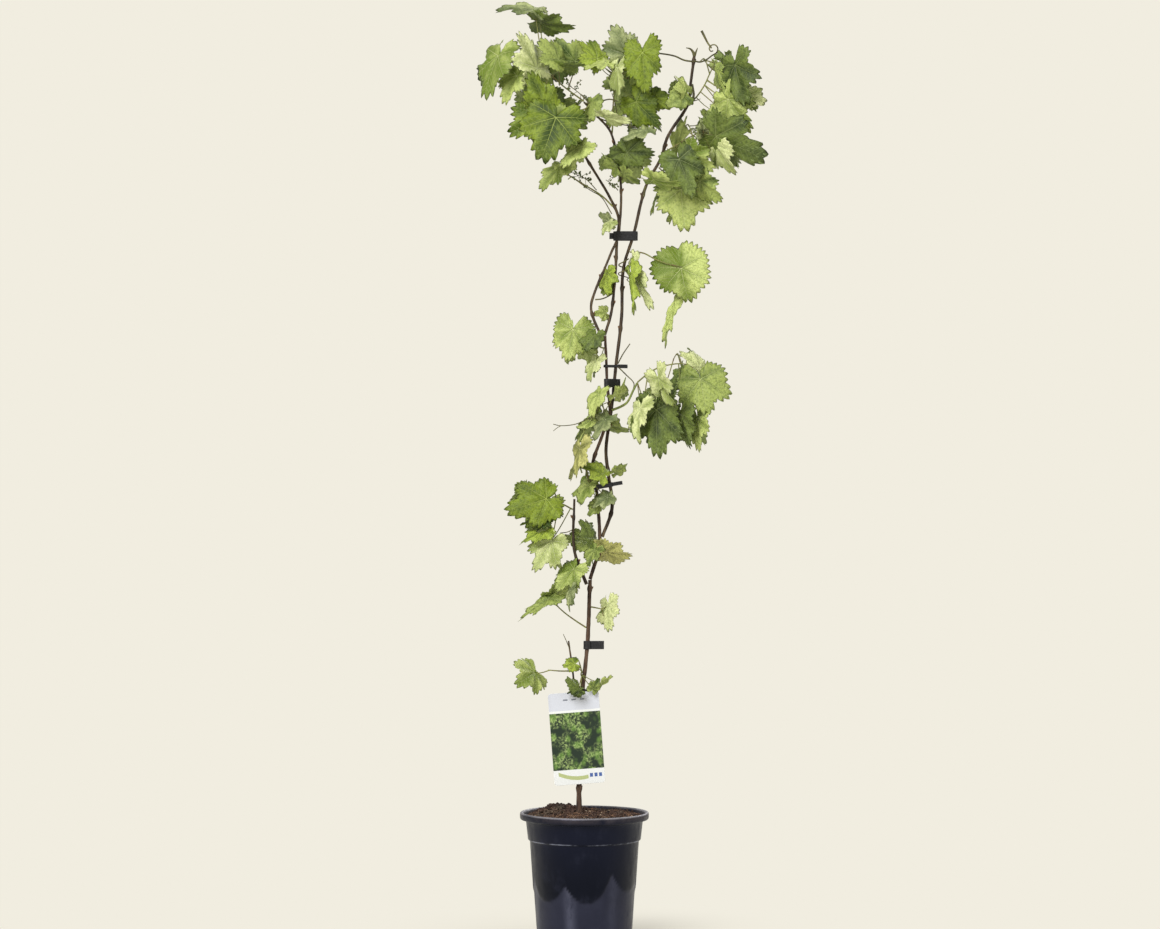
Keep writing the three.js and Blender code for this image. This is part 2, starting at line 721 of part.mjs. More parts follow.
function cardShape() {
  const sheet = new THREE.BoxGeometry(...card.size);
  sheet.rotateY(card.turn * degree);
  sheet.translate(...card.at);
  const tab = new THREE.BoxGeometry(...cardTab.size);
  tab.translate(...cardTab.at);
  const { bore, wall, height, segments } = cardRing;
  const [inner, outer, top] = [bore, bore + wall, height / 2];
  const ring = turned([[inner, -top], [outer, -top], [outer, top], [inner, top], [inner, -top]], segments);
  ring.translate(...cardRing.at);
  return surface(solid(sheet).add(solid(tab)).add(solid(ring)));
}

// Named meshes, the growing ones set by their own foot

function finish(name, geometry, colour, roughness) {
  const material = new THREE.MeshStandardMaterial({ color: colour, roughness, metalness: 0 });
  const mesh = new THREE.Mesh(geometry, material);
  mesh.name = name;
  return mesh;
}

function standing(name, body, foot, colour, roughness) {
  const mesh = finish(name, surface(body).translate(-foot[0], -foot[1], -foot[2]), colour, roughness);
  mesh.position.set(...foot);
  return mesh;
}

const vine = new THREE.Group();
for (const [name, { radii, route, colour }] of Object.entries(limbs)) {
  const size = { ...limbSize, foot: radii[0], tip: radii[1], flare: name === 'trunk' ? limbSize.flare : 0 };
  vine.add(standing(name, solid(tapered(route, size)), route[0], colours[colour], 0.8));
}
for (const [name, mass] of Object.entries(masses)) {
  vine.add(standing(name, massBody(mass), mass.stem[0], colours[mass.tone], 0.6));
}

const fittings = new THREE.Group();
for (const [name, tie] of Object.entries(ties)) {
  const mesh = finish(name, tieShape({ ...tie, ...tieTails[name] }), colours.tie, 0.5);
  mesh.position.set(...tie.at);
  mesh.rotation.set(0, -tie.lean * degree, tie.turn * degree, 'ZYX');
  fittings.add(mesh);
}
fittings.add(finish('label_card', cardShape(), colours.card, 0.35));

const container = new THREE.Group();
container.add(finish('pot', potShape(), colours.pot, 0.45));
container.add(finish('soil', soilShape(), colours.soil, 0.95));

const plant = new THREE.Group();
plant.add(container, vine, fittings);

export default plant;
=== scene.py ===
# A young grapevine in its nursery pot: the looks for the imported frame, in metres, +Z up, seen from -Y
# Measured routes and leaves are in millimetres
import math
import bmesh
import bpy
import numpy as np
from mathutils import Matrix, Vector, noise


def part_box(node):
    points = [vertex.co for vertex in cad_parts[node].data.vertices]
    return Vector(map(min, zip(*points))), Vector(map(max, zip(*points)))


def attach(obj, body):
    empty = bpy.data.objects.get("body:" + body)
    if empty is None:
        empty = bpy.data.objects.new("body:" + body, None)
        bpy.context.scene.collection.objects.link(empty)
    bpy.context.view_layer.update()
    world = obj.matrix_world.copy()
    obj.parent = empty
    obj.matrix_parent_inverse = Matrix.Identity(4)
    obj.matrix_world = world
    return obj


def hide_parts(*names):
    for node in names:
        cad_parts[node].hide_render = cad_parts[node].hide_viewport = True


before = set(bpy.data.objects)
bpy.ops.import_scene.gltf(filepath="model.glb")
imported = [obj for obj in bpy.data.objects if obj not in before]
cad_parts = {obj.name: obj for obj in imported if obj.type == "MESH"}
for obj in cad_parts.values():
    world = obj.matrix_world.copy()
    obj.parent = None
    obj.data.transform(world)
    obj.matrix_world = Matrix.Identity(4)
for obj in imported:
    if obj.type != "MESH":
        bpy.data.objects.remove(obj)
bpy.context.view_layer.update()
mm = 0.001
scene = bpy.context.scene
# the eye in mm, the length that one pixel covers at the plant, the picture's width, and the camera's sensor
eye = {"at": (-5.93, -4290, 626), "pixel": 1.318, "width": 1160, "sensor": 36}
print("frame loaded:", len(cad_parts), "nodes")

# each limb's route runs from its foot, and its radii are those of foot and tip
limbs = {
    "trunk": {"kind": "trunk", "radii": (3.1, 2.5), "route": [
        (-7.2, 0, 167.1), (-7.2, 0, 203.6), (-5.3, 0, 269.5), (-2.6, -2, 328.9), (1.3, -1, 361.8),
        (4.6, 1, 399.9), (5.9, 0, 434.2), (7.2, 0, 473.8),
    ]},
    "leader": {"kind": "trunk", "radii": (2.4, 1.8), "route": [
        (7.3, -0.3, 474.8), (13.2, 1, 493.5), (19.1, 2, 510.6), (19.8, 0, 539.7), (17.8, -1, 570),
        (15.8, -1, 592.4), (10.5, -2, 624), (23, -4, 663.5), (33.6, -3, 696.5), (30.3, -2, 726.8),
        (28.3, -1, 770.3), (27, 0, 795.4),
    ]},
    "left_shoot": {"kind": "cane", "radii": (2.4, 1.5), "route": [
        (2.8, -1.3, 468.3), (-1.3, -2, 477.8), (-5.3, -2.5, 488.3), (-9.9, -3, 498.9), (-13.8, -3, 516),
        (-14.8, -2, 539.7), (-13.8, -1, 563.4), (-13.4, 0, 580.5),
    ]},
    "right_stem": {"kind": "cane", "radii": (2.3, 1.9), "route": [
        (23.4, 3.8, 530.5), (36.3, 6, 568.6), (31, 5, 616.1), (28.4, 6, 645.1), (36.3, 7, 704.5),
        (40.9, 4, 750.7), (48.8, 3, 819.2), (51.5, 4, 885.2), (64.6, 0, 928.5), (81.1, 1, 993.1),
        (100.8, 0, 1030), (110.1, 0, 1059), (136.5, 4, 1101.6), (139.8, 4, 1126.6), (145.1, 2, 1167.3),
    ]},
    "straight_bough": {"kind": "cane", "radii": (1.9, 1.7), "route": [
        (26.6, -0.6, 796.5), (34.9, 2, 824.5), (38.9, 1, 856), (41.5, 0, 892.9), (42.8, 0, 921.9),
        (44.8, 0, 950.9), (32.3, -2, 979.7), (12.5, -4, 1012.5), (1.3, -5, 1030.8),
    ]},
    "bowed_bough": {"kind": "cane", "radii": (1.8, 1.4), "route": [
        (24.3, -1.5, 788.2), (18.4, -4, 803.1), (12.5, -5, 816.2), (8.5, -6, 833.3), (14.5, -6, 855.7),
        (25.7, -6, 882), (35.5, -5.4, 905.7), (43.6, -4.2, 924.2), (47.4, -5, 954.5), (47.8, -2, 994.2),
        (43.5, 0, 1027.3), (33.6, 2, 1065.8), (16.5, 3, 1085.6), (-0.7, 2, 1104),
    ]},
    "right_shoot": {"kind": "shoot", "radii": (1.7, 1.3), "route": [
        (36.1, -3.7, 697.6), (46.7, -5, 701.7), (55.9, -6, 707.6), (63.8, -7, 722.7), (69.1, -8, 733.2),
    ]},
    "low_shoot": {"kind": "cane", "radii": (1.4, 1.1), "route": [
        (-7.2, 0.4, 314.9), (-12.5, 0, 331.4), (-16.5, -2, 361.9), (-21.1, -2, 393.5),
    ]},
    "hanging_shoot": {"kind": "shoot", "radii": (1.2, 1), "route": [
        (28.2, -3.1, 721.5), (21.7, -8, 706.9), (8.5, -10, 684.5), (-7.2, -10, 655.6), (-9.9, -9, 638.5),
        (-5.9, -8, 622.7), (-3.3, -8, 614.8),
    ]},
}

# a leaf's row: x and z of its notch and of its tip, and its width, all as seen in front; how deep it stands;
# how far along the stem its stalk starts; its tone, which also paints how lit or shaded the leaf looks; and
# its form, where that isn't the usual one
masses = {
    "foliage_top_left": {
        "stem": [(-0.8, 2.3, 1104.9), (-28.3, 0, 1124.9), (-41.5, -2, 1136.5), (-54.7, -4, 1141.5)],
        "leaves": [
            (-67, 1223, -116, 1233, 16, -12, 1, "grey"),
            (-58, 1208, -16, 1194, 25, -3, 1, "deep"),
            (-113, 1161, -139, 1111, 42, -26, 1, "lime"),
            (-88, 1134, -110, 1103, 38, -34, 0.9, "lime"),
            (-62, 1143, -86, 1190, 42, -36, 1, "pale"),
            (-34, 1155, -61, 1184, 32, -30, 0.6, "mid"),
            (-12, 1156, -38, 1187, 44, -6, 0.4, "mid"),
            (-33, 1146, 3, 1148, 15, -30, 0.8, "deep"),
        ],
        "behind": {"reach": 85, "count": 4, "seed": 22},
    },
    "foliage_left_front": {
        "stem": [(5.2, 0.8, 1096.1), (-12.5, -12, 1089.3), (-32.2, -20, 1083.2)],
        "leaves": [
            (-54, 1082, -101, 1058, 61, -34, 1, "bright"),
            (-50, 1088, -68, 1134, 52, -54, 1, "vivid"),
            (-37, 1075, -56, 1022, 84, -79, 1, "vivid", "broad"),
            (-29, 1076, 2, 1066, 37, -52, 1, "mid"),
            (-3, 1038, -31, 1016, 24, -74, 0.8, "lime"),
            (10, 1102, 8, 1074, 22, -6, 0, "mid"),
        ],
        "behind": {"reach": 95, "count": 4, "seed": 32, "skip": [1]},
    },
    "foliage_left_low": {
        "stem": [
            (37.1, -3.1, 966), (23, -8, 979.2), (-2, -12, 994.7), (-19.1, -14, 1005), (-28.3, -14, 1011.6),
        ],
        "leaves": [
            (-33, 1014, -60, 994, 26, -26, 1, "lime"),
            (-28, 1013, -6, 1024, 18, -22, 1, "lime"),
        ],
        "behind": {"reach": 30, "count": 1, "seed": 31},
    },
    "foliage_centre_top": {
        "stem": [(35.9, 3.7, 1059.8), (37.1, 8, 1071.7), (39, 9, 1112.7), (48.2, 4, 1146.4)],
        "leaves": [
            (55, 1166, 40, 1203, 52, -1, 1, "grey"),
            (76, 1166, 78, 1115, 52, -24, 1, "vivid"),
            (44, 1147, 37, 1104, 19, -14, 0.9, "pale"),
            (17, 1161, -10, 1187, 37, 6, 0.9, "bright"),
            (28, 1155, -1, 1151, 17, -2, 0.9, "lime"),
        ],
        "behind": {"reach": 100, "count": 4, "seed": 48},
    },
    "foliage_centre": {
        "stem": [
            (49.3, -0.5, 1000.7), (57.3, -4, 1020.4), (59.9, -4, 1046.7), (59.9, -4, 1079.6),
            (57.3, -5, 1101.9),
        ],
        "leaves": [
            (68, 1103, 97, 1070, 50, -10, 1, "vivid"),
            (92, 1109, 115, 1094, 29, -4, 0.9, "vivid"),
            (27, 1083, 64, 1070, 13, -23, 0.8, "pale"),
            (81, 1064, 49, 1056, 16, -21, 0.6, "grey"),
            (56, 1036, 93, 1033, 42, -14, 0.4, "deep"),
            (41, 1018, 19, 1037, 21, -12, 0.1, "mid"),
            (49, 1037, 32, 1029, 26, -8, 0.4, "deep"),
            (52, 1008, 72, 995, 17, -10, 0.1, "mid"),
        ],
        "behind": {"reach": 80, "count": 3, "seed": 56},
    },
    "foliage_tip": {
        "stem": [(134.2, 3.4, 1108.4), (129.8, 0, 1109), (127.1, -3, 1110)],
        "leaves": [
            (134, 1117, 117, 1140, 24, -11, 1, "lime"),
            (130, 1110, 108, 1098, 32, -16, 1, "mid"),
        ],
        "behind": {"reach": 35, "count": 1, "seed": 62},
    },
    "foliage_right_high": {
        "stem": [
            (137.8, 4, 1102.9), (145.8, 4, 1108.8), (157.5, 0, 1124.9), (165.3, -4, 1141.5),
            (171.8, -6, 1154.4),
        ],
        "leaves": [
            (197, 1147, 204, 1096, 38, -48, 1, "deep"),
            (176, 1142, 184, 1106, 9, -24, 0.95, "mid"),
            (188, 1104, 214, 1060, 50, -33, 0.5, "lime"),
            (211, 1108, 236, 1098, 34, -32, 0.6, "pale"),
            (184, 1099, 160, 1090, 20, -2, 0.5, "lime"),
        ],
        "behind": {"reach": 95, "count": 4, "seed": 72},
    },
    "foliage_right": {
        "stem": [(105.3, -1.2, 1037.4), (119, -10, 1044.8), (138.4, -20, 1055.6), (155.2, -26, 1062.9)],
        "leaves": [
            (172, 1056, 230, 1026, 60, -31, 1, "deep"),
            (172, 1046, 188, 1006, 36, -20, 1, "pale"),
            (122, 1046, 138, 1089, 18, 21, 0.5, "lime"),
            (155, 1059, 157, 1079, 18, -22, 0.9, "grey"),
        ],
        "behind": {"reach": 80, "count": 3, "seed": 113},
    },
    "foliage_right_low": {
        "stem": [(87.8, -1.7, 1004.9), (96.7, -8, 1000.3), (104.5, -12, 997.3)],
        "leaves": [
            (124, 1026, 142, 976, 56, -24, 1, "deep"),
            (152, 999, 178, 971, 32, -10, 1, "mid"),
            (90, 999, 130, 986, 18, -33, 0.5, "lime"),
            (128, 990, 130, 938, 78, 13, 1, "lime", "broad"),
            (138, 1035, 167, 1010, 34, -16, 0.9, "lime"),
        ],
        "behind": {"reach": 95, "count": 3, "seed": 98},
    },
    "foliage_tie": {
        "stem": [(42.4, -0.5, 945.1), (36.2, -5, 943.9)],
        "leaves": [
            (35, 945, 19, 958, 16, -3, 1, "grey"),
            (34, 942, 19, 927, 13, -25, 1, "pale"),
        ],
    },
    "leaf_round": {
        "stem": [
            (59.8, 2.2, 906.2), (77.1, -2, 904.6), (92.8, -5, 896.5), (109.8, -9, 889.7),
            (128.1, -12, 885.6),
        ],
        "leaves": [
            (127, 884, 134, 842, 76, -11, 1, "lime", "round"),
            (120, 840, 101, 778, 9, 2, 0.9, "lime"),
        ],
    },
    "leaves_hanging": {
        "stem": [(54, 2.5, 884.4), (58.7, 0, 887.6), (62.6, -2, 888.8)],
        "leaves": [
            (62, 874, 67, 821, 15, -14, 1, "bright"),
            (68, 884, 83, 829, 18, -3, 1, "pale"),
        ],
    },
    "leaf_yellow": {
        "stem": [(37.9, 0.3, 874.5), (32.3, -1, 879.7)],
        "leaves": [
            (30, 878, 30, 850, 22, 0, 1, "bright"),
        ],
    },
    "leaf_olive": {
        "stem": [(31.5, 1.7, 822.8), (29.7, 3, 824.5)],
        "leaves": [
            (28, 826, 14, 825, 22, 5, 1, "lime"),
        ],
    },
    "foliage_right_mid": {
        "stem": [
            (69.5, -8.3, 734), (86.1, -10, 747.6), (104.5, -12, 755.5), (130.8, -12, 758.1),
            (147.8, -14, 750.1),
        ],
        "leaves": [
            (152, 738, 160, 686, 70, -26, 1, "mid"),
            (94, 698, 94, 633, 66, -30, 0.3, "deep"),
            (73, 699, 64, 658, 26, -34, 0.2, "pale"),
            (127, 691, 131, 646, 26, -21, 0.7, "deep"),
            (148, 687, 149, 644, 29, -18, 0.8, "lime"),
            (152, 753, 130, 777, 28, -2, 1, "pale"),
            (97, 738, 112, 698, 28, -44, 0.4, "pale"),
        ],
        "behind": {"reach": 85, "count": 4, "seed": 121},
    },
    "leaves_knot": {
        "stem": [(25.6, -2.1, 779.4), (20.4, -7, 780.6), (13.8, -9, 787.1)],
        "leaves": [
            (-15, 804, -24, 760, 57, 2, 1, "lime", "full"),
            (13, 795, -3, 773, 25, -12, 1, "deep"),
            (15, 762, 1, 736, 17, -1, 1, "pale"),
        ],
        "behind": {"reach": 40, "count": 1, "seed": 130},
    },
    "leaves_mid": {
        "stem": [(30.6, -3.3, 696.4), (25.6, -9, 696.4)],
        "leaves": [
            (19, 718, 3, 690, 22, -23, 1, "lime"),
            (41, 716, 57, 736, 16, -10, 0.8, "lime"),
            (28, 685, 9, 661, 22, -27, 1, "grey"),
            (31, 679, 58, 670, 20, 24, 1, "mid"),
            (10, 683, -12, 674, 11, -10, 1, "lime"),
        ],
        "behind": {"reach": 45, "count": 2, "seed": 131},
    },
    "leaves_lower_mid": {
        "stem": [(10.1, -3.3, 611), (6.6, -7, 609.6), (4.6, -10, 604.3)],
        "leaves": [
            (-6, 646, -13, 606, 19, -32, 1, "olive"),
            (24, 613, 0, 628, 24, -20, 0.6, "bright"),
            (5, 599, -10, 577, 20, -12, 1, "lime"),
            (31, 583, 7, 571, 22, -18, 0.6, "grey"),
            (18, 574, 5, 560, 20, -8, 0.6, "mid"),
            (41, 616, 59, 625, 14, -6, 0.4, "mid"),
        ],
        "behind": {"reach": 45, "count": 2, "seed": 137},
    },
    "foliage_left": {
        "stem": [(-15.7, -1.1, 566.9), (-32.2, -8, 575.4), (-42.7, -12, 578)],
        "leaves": [
            (-50, 581, -100, 565, 67, -22, 1, "vivid"),
            (-48, 565, -88, 547, 29, 0, 0.9, "vivid"),
            (-52, 539, -86, 528, 20, -14, 0.8, "bright"),
            (-43, 526, -69, 484, 50, -18, 0.7, "pale"),
        ],
        "behind": {"reach": 60, "count": 3, "seed": 146, "skip": [0]},
    },
    "leaves_fork_right": {
        "stem": [(17.1, -0.3, 519.9), (11.2, -5, 520), (7.2, -7, 522.7)],
        "leaves": [
            (5, 524, -31, 528, 24, 20, 1, "mid"),
            (14, 514, 0, 493, 18, -24, 0.6, "mid"),
            (9, 529, -4, 553, 17, -6, 0.8, "deep"),
        ],
        "behind": {"reach": 40, "count": 1, "seed": 150},
    },
    "leaves_fork_left": {
        "stem": [(-8, -3.5, 488.5), (-13.8, -8, 487.2), (-17.8, -10, 486)],
        "leaves": [
            (-14, 489, -38, 464, 32, -20, 1, "lime"),
            (-19, 484, -40, 474, 18, -6, 1, "lime"),
            (-18, 461, -24, 431, 10, -34, 1, "grey"),
        ],
        "behind": {"reach": 35, "count": 1, "seed": 155},
    },
    "leaf_drooping": {
        "stem": [(2.1, -1.2, 411.2), (-11.2, -5, 420), (-25.7, -8, 430.6), (-38.8, -10, 442.6)],
        "leaves": [
            (-47, 449, -90, 423, 17, -18, 1, "mid"),
            (-43, 451, -15, 472, 24, -4, 0.9, "mid"),
        ],
    },
    "leaf_right_yellow": {
        "stem": [(21.8, 1.4, 517.4), (27, 0, 514.6)],
        "leaves": [
            (28, 511, 64, 504, 30, -2, 1, "olive"),
        ],
    },
    "leaf_right_pale": {
        "stem": [(9, 0.1, 438.3), (16.5, -2, 437), (23, -3, 435.7)],
        "leaves": [
            (31, 441, 29, 407, 26, -4, 1, "pale"),
        ],
    },
    "leaf_low_left": {
        "stem": [(-17.1, -1.7, 354), (-32.3, -4, 354.1), (-48, -6, 355.5)],
        "leaves": [
            (-66, 352, -83, 343, 54, -10, 1, "lime"),
        ],
    },
    "leaves_low": {
        "stem": [(-3.4, -4.2, 346.4), (-4.6, -9, 350.5), (-3.3, -12, 354.6)],
        "leaves": [
            (-13, 364, -30, 361, 20, -14, 1, "bright"),
            (11, 331, 19, 345, 17, -16, 0.4, "mid"),
            (22, 337, 39, 350, 8, -4, 0.4, "lime"),
            (-8, 331, -24, 346, 14, -12, 0.3, "deep"),
            (-7, 329, -24, 328, 11, -16, 0.3, "deep"),
        ],
        "behind": {"reach": 35, "count": 1, "seed": 179},
    },
}

strands = {
    "tendrilKnot": {"radii": (0.8, 0.5), "route": [
        (34, -4, 696), (20, -8, 691), (7, -11, 687), (-12, -14, 679), (-32, -16, 677), (-41, -17, 679),
    ]},
    "tendrilKnotFork": {"radii": (0.5, 0.4), "route": [
        (-31, -16, 677), (-36, -17, 674), (-41, -18, 670),
    ]},
    "tipStalk": {"radii": (1.2, 0.9), "route": [
        (144, 1, 1157), (131, 0, 1159), (119, -2, 1164), (102, -3, 1167), (86, -3, 1168), (70, -2, 1167),
    ]},
    "tipTendril": {"radii": (1.1, 0.8), "route": [
        (144, 1, 1158), (152, -4, 1156), (160, -12, 1158), (167, -24, 1162), (173, -34, 1165),
        (174, -38, 1170), (171, -38, 1174), (166, -37, 1174), (163, -36, 1170), (165, -35, 1166),
        (168, -34, 1167),
    ]},
    "tipTendrilEnd": {"radii": (1.0, 1.7), "route": [
        (166, -37, 1170), (161, -36, 1177), (157, -35, 1185), (153, -35, 1193),
    ]},
    "woundTendril": {"radii": (0.9, 0.6), "route": [
        (58, -1, 897), (52, -6, 893), (46, -3, 890), (46, 4, 888), (52, 7, 886), (58, 3, 884), (57, -4, 882),
        (50, -7, 880), (45, -2, 878), (46, 5, 876), (53, 7, 874), (58, 2, 872), (56, -5, 869), (62, -9, 864),
    ]},
    "tipBudLeft": {"radii": (2.4, 0.6), "route": [
        (145, 2, 1165), (143, 1, 1170), (139, 0, 1174), (134, -1, 1175),
    ]},
    "tipBudRight": {"radii": (2.0, 0.5), "route": [
        (145, 2, 1165), (147, 1, 1170), (149, 0, 1175),
    ]},
    "sideBud": {"radii": (1.7, 1.2), "route": [
        (142, 1, 1104), (144, -2, 1113), (143, -3, 1121), (142, -3, 1127),
    ]},
    "budScale": {"radii": (1.0, 0.3), "route": [
        (140, 3, 1105), (147, 1, 1106), (153, 0, 1108),
    ]},
    "leftTendril": {"radii": (0.8, 0.5), "route": [
        (-57, -4, 1139), (-64, -6, 1148), (-70, -8, 1158), (-72, -9, 1171), (-73, -10, 1184),
    ]},
    "crossStalk": {"radii": (1.1, 0.8), "route": [
        (1, 0, 1102), (10, -2, 1102), (23, -3, 1105), (34, -3, 1107), (45, -4, 1104),
    ]},
    "topStalk": {"radii": (0.7, 0.5), "route": [
        (42, 4, 1079), (42, 2, 1093), (39, -2, 1106), (36, -3, 1115),
    ]},
    "longStalk": {"radii": (0.7, 0.5), "route": [
        (36, -3, 956), (22, -7, 978), (7, -10, 987), (-13, -12, 1001), (-30, -14, 1012),
    ]},
    "rightStalk": {"radii": (0.9, 0.7), "route": [
        (98, -3, 1017), (107, -8, 1008), (120, -12, 997),
    ]},
    "cutStub": {"radii": (1.5, 1.3), "route": [
        (80, -1, 992), (79, -4, 986), (78, -6, 979),
    ]},
    "bridgeStalk": {"radii": (0.9, 0.8), "route": [
        (14, -6, 843), (23, -6, 844), (32, -3, 848), (38, 0, 852),
    ]},
    "midTwig": {"radii": (0.9, 0.7), "route": [
        (44, 2, 759), (51, -1, 772), (60, -3, 785),
    ]},
    "midTendril": {"radii": (0.9, 0.6), "route": [
        (44, 2, 755), (55, -1, 744), (65, -3, 733), (64, -4, 724),
    ]},
    "leftStalk": {"radii": (0.7, 0.5), "route": [
        (-14, -3, 541), (-23, -7, 537), (-32, -10, 536),
    ]},
    "thinShoot": {"radii": (0.9, 0.6), "route": [
        (16, 1, 1084), (30, -3, 1078), (47, -6, 1074), (65, -8, 1070), (80, -9, 1065),
    ]},
    "lowStalkLeft": {"radii": (0.6, 0.4), "route": [
        (-20, -4, 384), (-24, -7, 394), (-28, -9, 403),
    ]},
}

clusters = {
    "clusterLeft": {"foot": (7, 0, 1101), "tip": (-23, -14, 1126), "stalks": 9, "seed": 5},
    "clusterLeftLow": {"foot": (-3, -1, 1105), "tip": (-14, -14, 1094), "stalks": 6, "seed": 8},
    "clusterFork": {"foot": (16, -6, 987), "tip": (-18, -16, 1010), "stalks": 9, "seed": 13},
    "clusterCentre": {"foot": (44, -5, 987), "tip": (28, -12, 1000), "stalks": 5, "seed": 17},
    "clusterRight": {"foot": (136, -18, 1055), "tip": (163, -30, 1065), "stalks": 7, "seed": 21},
    "clusterHanging": {"foot": (93, -12, 702), "tip": (86, -18, 692), "stalks": 4, "seed": 25},
}


# Small helpers for routes, chance, selection, modelling and arrays

def spaced(route, step):
    # even steps along the smooth curve through a route's points
    points = np.array(route, float)
    points = np.vstack([2 * points[0] - points[1], points, 2 * points[-1] - points[-2]])
    share = np.linspace(0, 1, 24, endpoint=False)[:, None]
    fine = []
    for k in range(1, len(points) - 2):
        a, b, c, d = points[k - 1:k + 3]
        g0, g1, g2 = [max(0.01, np.linalg.norm(gap) ** 0.5) for gap in (b - a, c - b, d - c)]
        out = ((b - a) / g0 - (c - a) / (g0 + g1) + (c - b) / g1) * g1
        back = ((c - b) / g1 - (d - b) / (g1 + g2) + (d - c) / g2) * g1
        fine.append(b + out * share + (3 * (c - b) - 2 * out - back) * share ** 2
                    + (2 * (b - c) + out + back) * share ** 3)
    fine = np.vstack(fine + [points[-2][None]])
    far = np.concatenate([[0], np.cumsum(np.linalg.norm(np.diff(fine, axis=0), axis=1))])
    marks = np.linspace(0, far[-1], max(1, round(far[-1] / step)) + 1)
    return np.column_stack([np.interp(marks, far, fine[:, i]) for i in range(3)])


def partWay(centres, share):
    along = share * (len(centres) - 1)
    k = min(len(centres) - 2, int(along))
    return centres[k] + (centres[k + 1] - centres[k]) * (along - k)


def chance(seed):
    state = seed
    while True:
        state = (state * 1664525 + 1013904223) % 4294967296
        yield state / 4294967296


def turnAbout(axis, degrees):
    return np.array(Matrix.Rotation(math.radians(degrees), 3, axis))


def smoothStep(low, high, value):
    share = np.clip((value - low) / (high - low), 0, 1)
    return share * share * (3 - 2 * share)


def startPiece():
    if bpy.context.object and bpy.context.object.mode != "OBJECT":
        bpy.ops.object.mode_set(mode="OBJECT")
    bpy.ops.object.select_all(action="DESELECT")


def makeActive(*pieces):
    # these pieces alone are selected, and the first is active
    startPiece()
    for piece in pieces:
        piece.select_set(True)
    bpy.context.view_layer.objects.active = pieces[0]


def startEditing():
    bpy.ops.object.mode_set(mode="EDIT")
    bpy.ops.mesh.select_all(action="SELECT")


def endEditing():
    # all faces turned outwards first
    bpy.ops.mesh.select_all(action="SELECT")
    bpy.ops.mesh.normals_make_consistent(inside=False)
    bpy.ops.object.mode_set(mode="OBJECT")


def extrudeUp(rise):
    bpy.ops.mesh.extrude_region_move(TRANSFORM_OT_translate={"value": (0, 0, rise * mm)})


def insetFaces(*thicknesses):
    for thickness in thicknesses:
        bpy.ops.mesh.inset(thickness=thickness * mm)


def namedPiece(name):
    piece = bpy.context.object
    piece.name = name
    piece.data.name = name
    return piece


def readValues(items, key, width=1, kind=np.float32):
    flat = np.empty(len(items) * width, kind)
    items.foreach_get(key, flat)
    return flat if width == 1 else flat.reshape(-1, width)


def vertexTable(piece):
    return readValues(piece.data.vertices, "co", 3).astype(float)


def moveVertices(piece, points):
    piece.data.vertices.foreach_set("co", np.asarray(points, np.float32).ravel())
    piece.data.update()


def addMark(mesh, name, values):
    # a number at each vertex, for a material to read
    layer = mesh.attributes.new(name, "FLOAT", "POINT")
    layer.data.foreach_set("value", np.asarray(values, np.float32))


def pickFaces(piece, test):
    # in edit mode: only the faces whose middle passes the test are selected
    shape = bmesh.from_edit_mesh(piece.data)
    for part in (*shape.verts, *shape.edges, *shape.faces):
        part.select = False
    for face in shape.faces:
        if test(face.calc_center_median(), face.normal):
            face.select = True
    shape.select_flush(True)
    bmesh.update_edit_mesh(piece.data)


def applyAll(piece):
    for change in list(piece.modifiers):
        bpy.ops.object.modifier_apply(modifier=change.name)


def settle(piece):
    # the finished piece's object sits at the origin, its place in its mesh
    makeActive(piece)
    bpy.ops.object.transform_apply(location=True, rotation=True, scale=True)


def addBlock(middle, size):
    startPiece()
    bpy.ops.mesh.primitive_cube_add(size=1, location=[value * mm for value in middle])
    block = bpy.context.object
    block.scale = [side * mm for side in size]
    settle(block)
    return block


def addWall(piece, thickness):
    wall = piece.modifiers.new("wall", "SOLIDIFY")
    wall.thickness = thickness * mm
    wall.offset = 1


def roundEdges(piece, width, segments=1):
    edge = piece.modifiers.new("edge", "BEVEL")
    edge.limit_method = "ANGLE"
    edge.width = width * mm
    edge.segments = segments
    applyAll(piece)


def turnedPiece(name, sides, rings):
    # a round piece raised from a filled circle, ring by ring, each a radius and a height; stays in edit mode
    startPiece()
    reach, height = rings[0]
    bpy.ops.mesh.primitive_circle_add(vertices=sides, radius=reach * mm, fill_type="NGON",
                                      location=(0, 0, height * mm))
    piece = namedPiece(name)
    startEditing()
    for radius, ringHeight in rings[1:]:
        extrudeUp(ringHeight - height)
        bpy.ops.transform.resize(value=(radius / reach, radius / reach, 1),
                                 center_override=(0, 0, ringHeight * mm))
        reach, height = radius, ringHeight
    return piece


def readModel(piece):
    # the arrays of a finished model, ready to be copied many times
    mesh = piece.data
    model = {"points": vertexTable(piece), "middles": readValues(mesh.polygons, "center", 3),
             "corners": readValues(mesh.loops, "vertex_index", kind=np.int32),
             "starts": readValues(mesh.polygons, "loop_start", kind=np.int32)}
    bpy.data.objects.remove(piece)
    return model


def plainCopy(model, points, shade, slot=0):
    # a copy with one finish and one shade all over
    count = len(points)
    return {"model": model, "points": points, "flat": np.zeros((count, 2)),
            "slots": np.full(len(model["starts"]), slot), "shade": np.full(count, shade)}


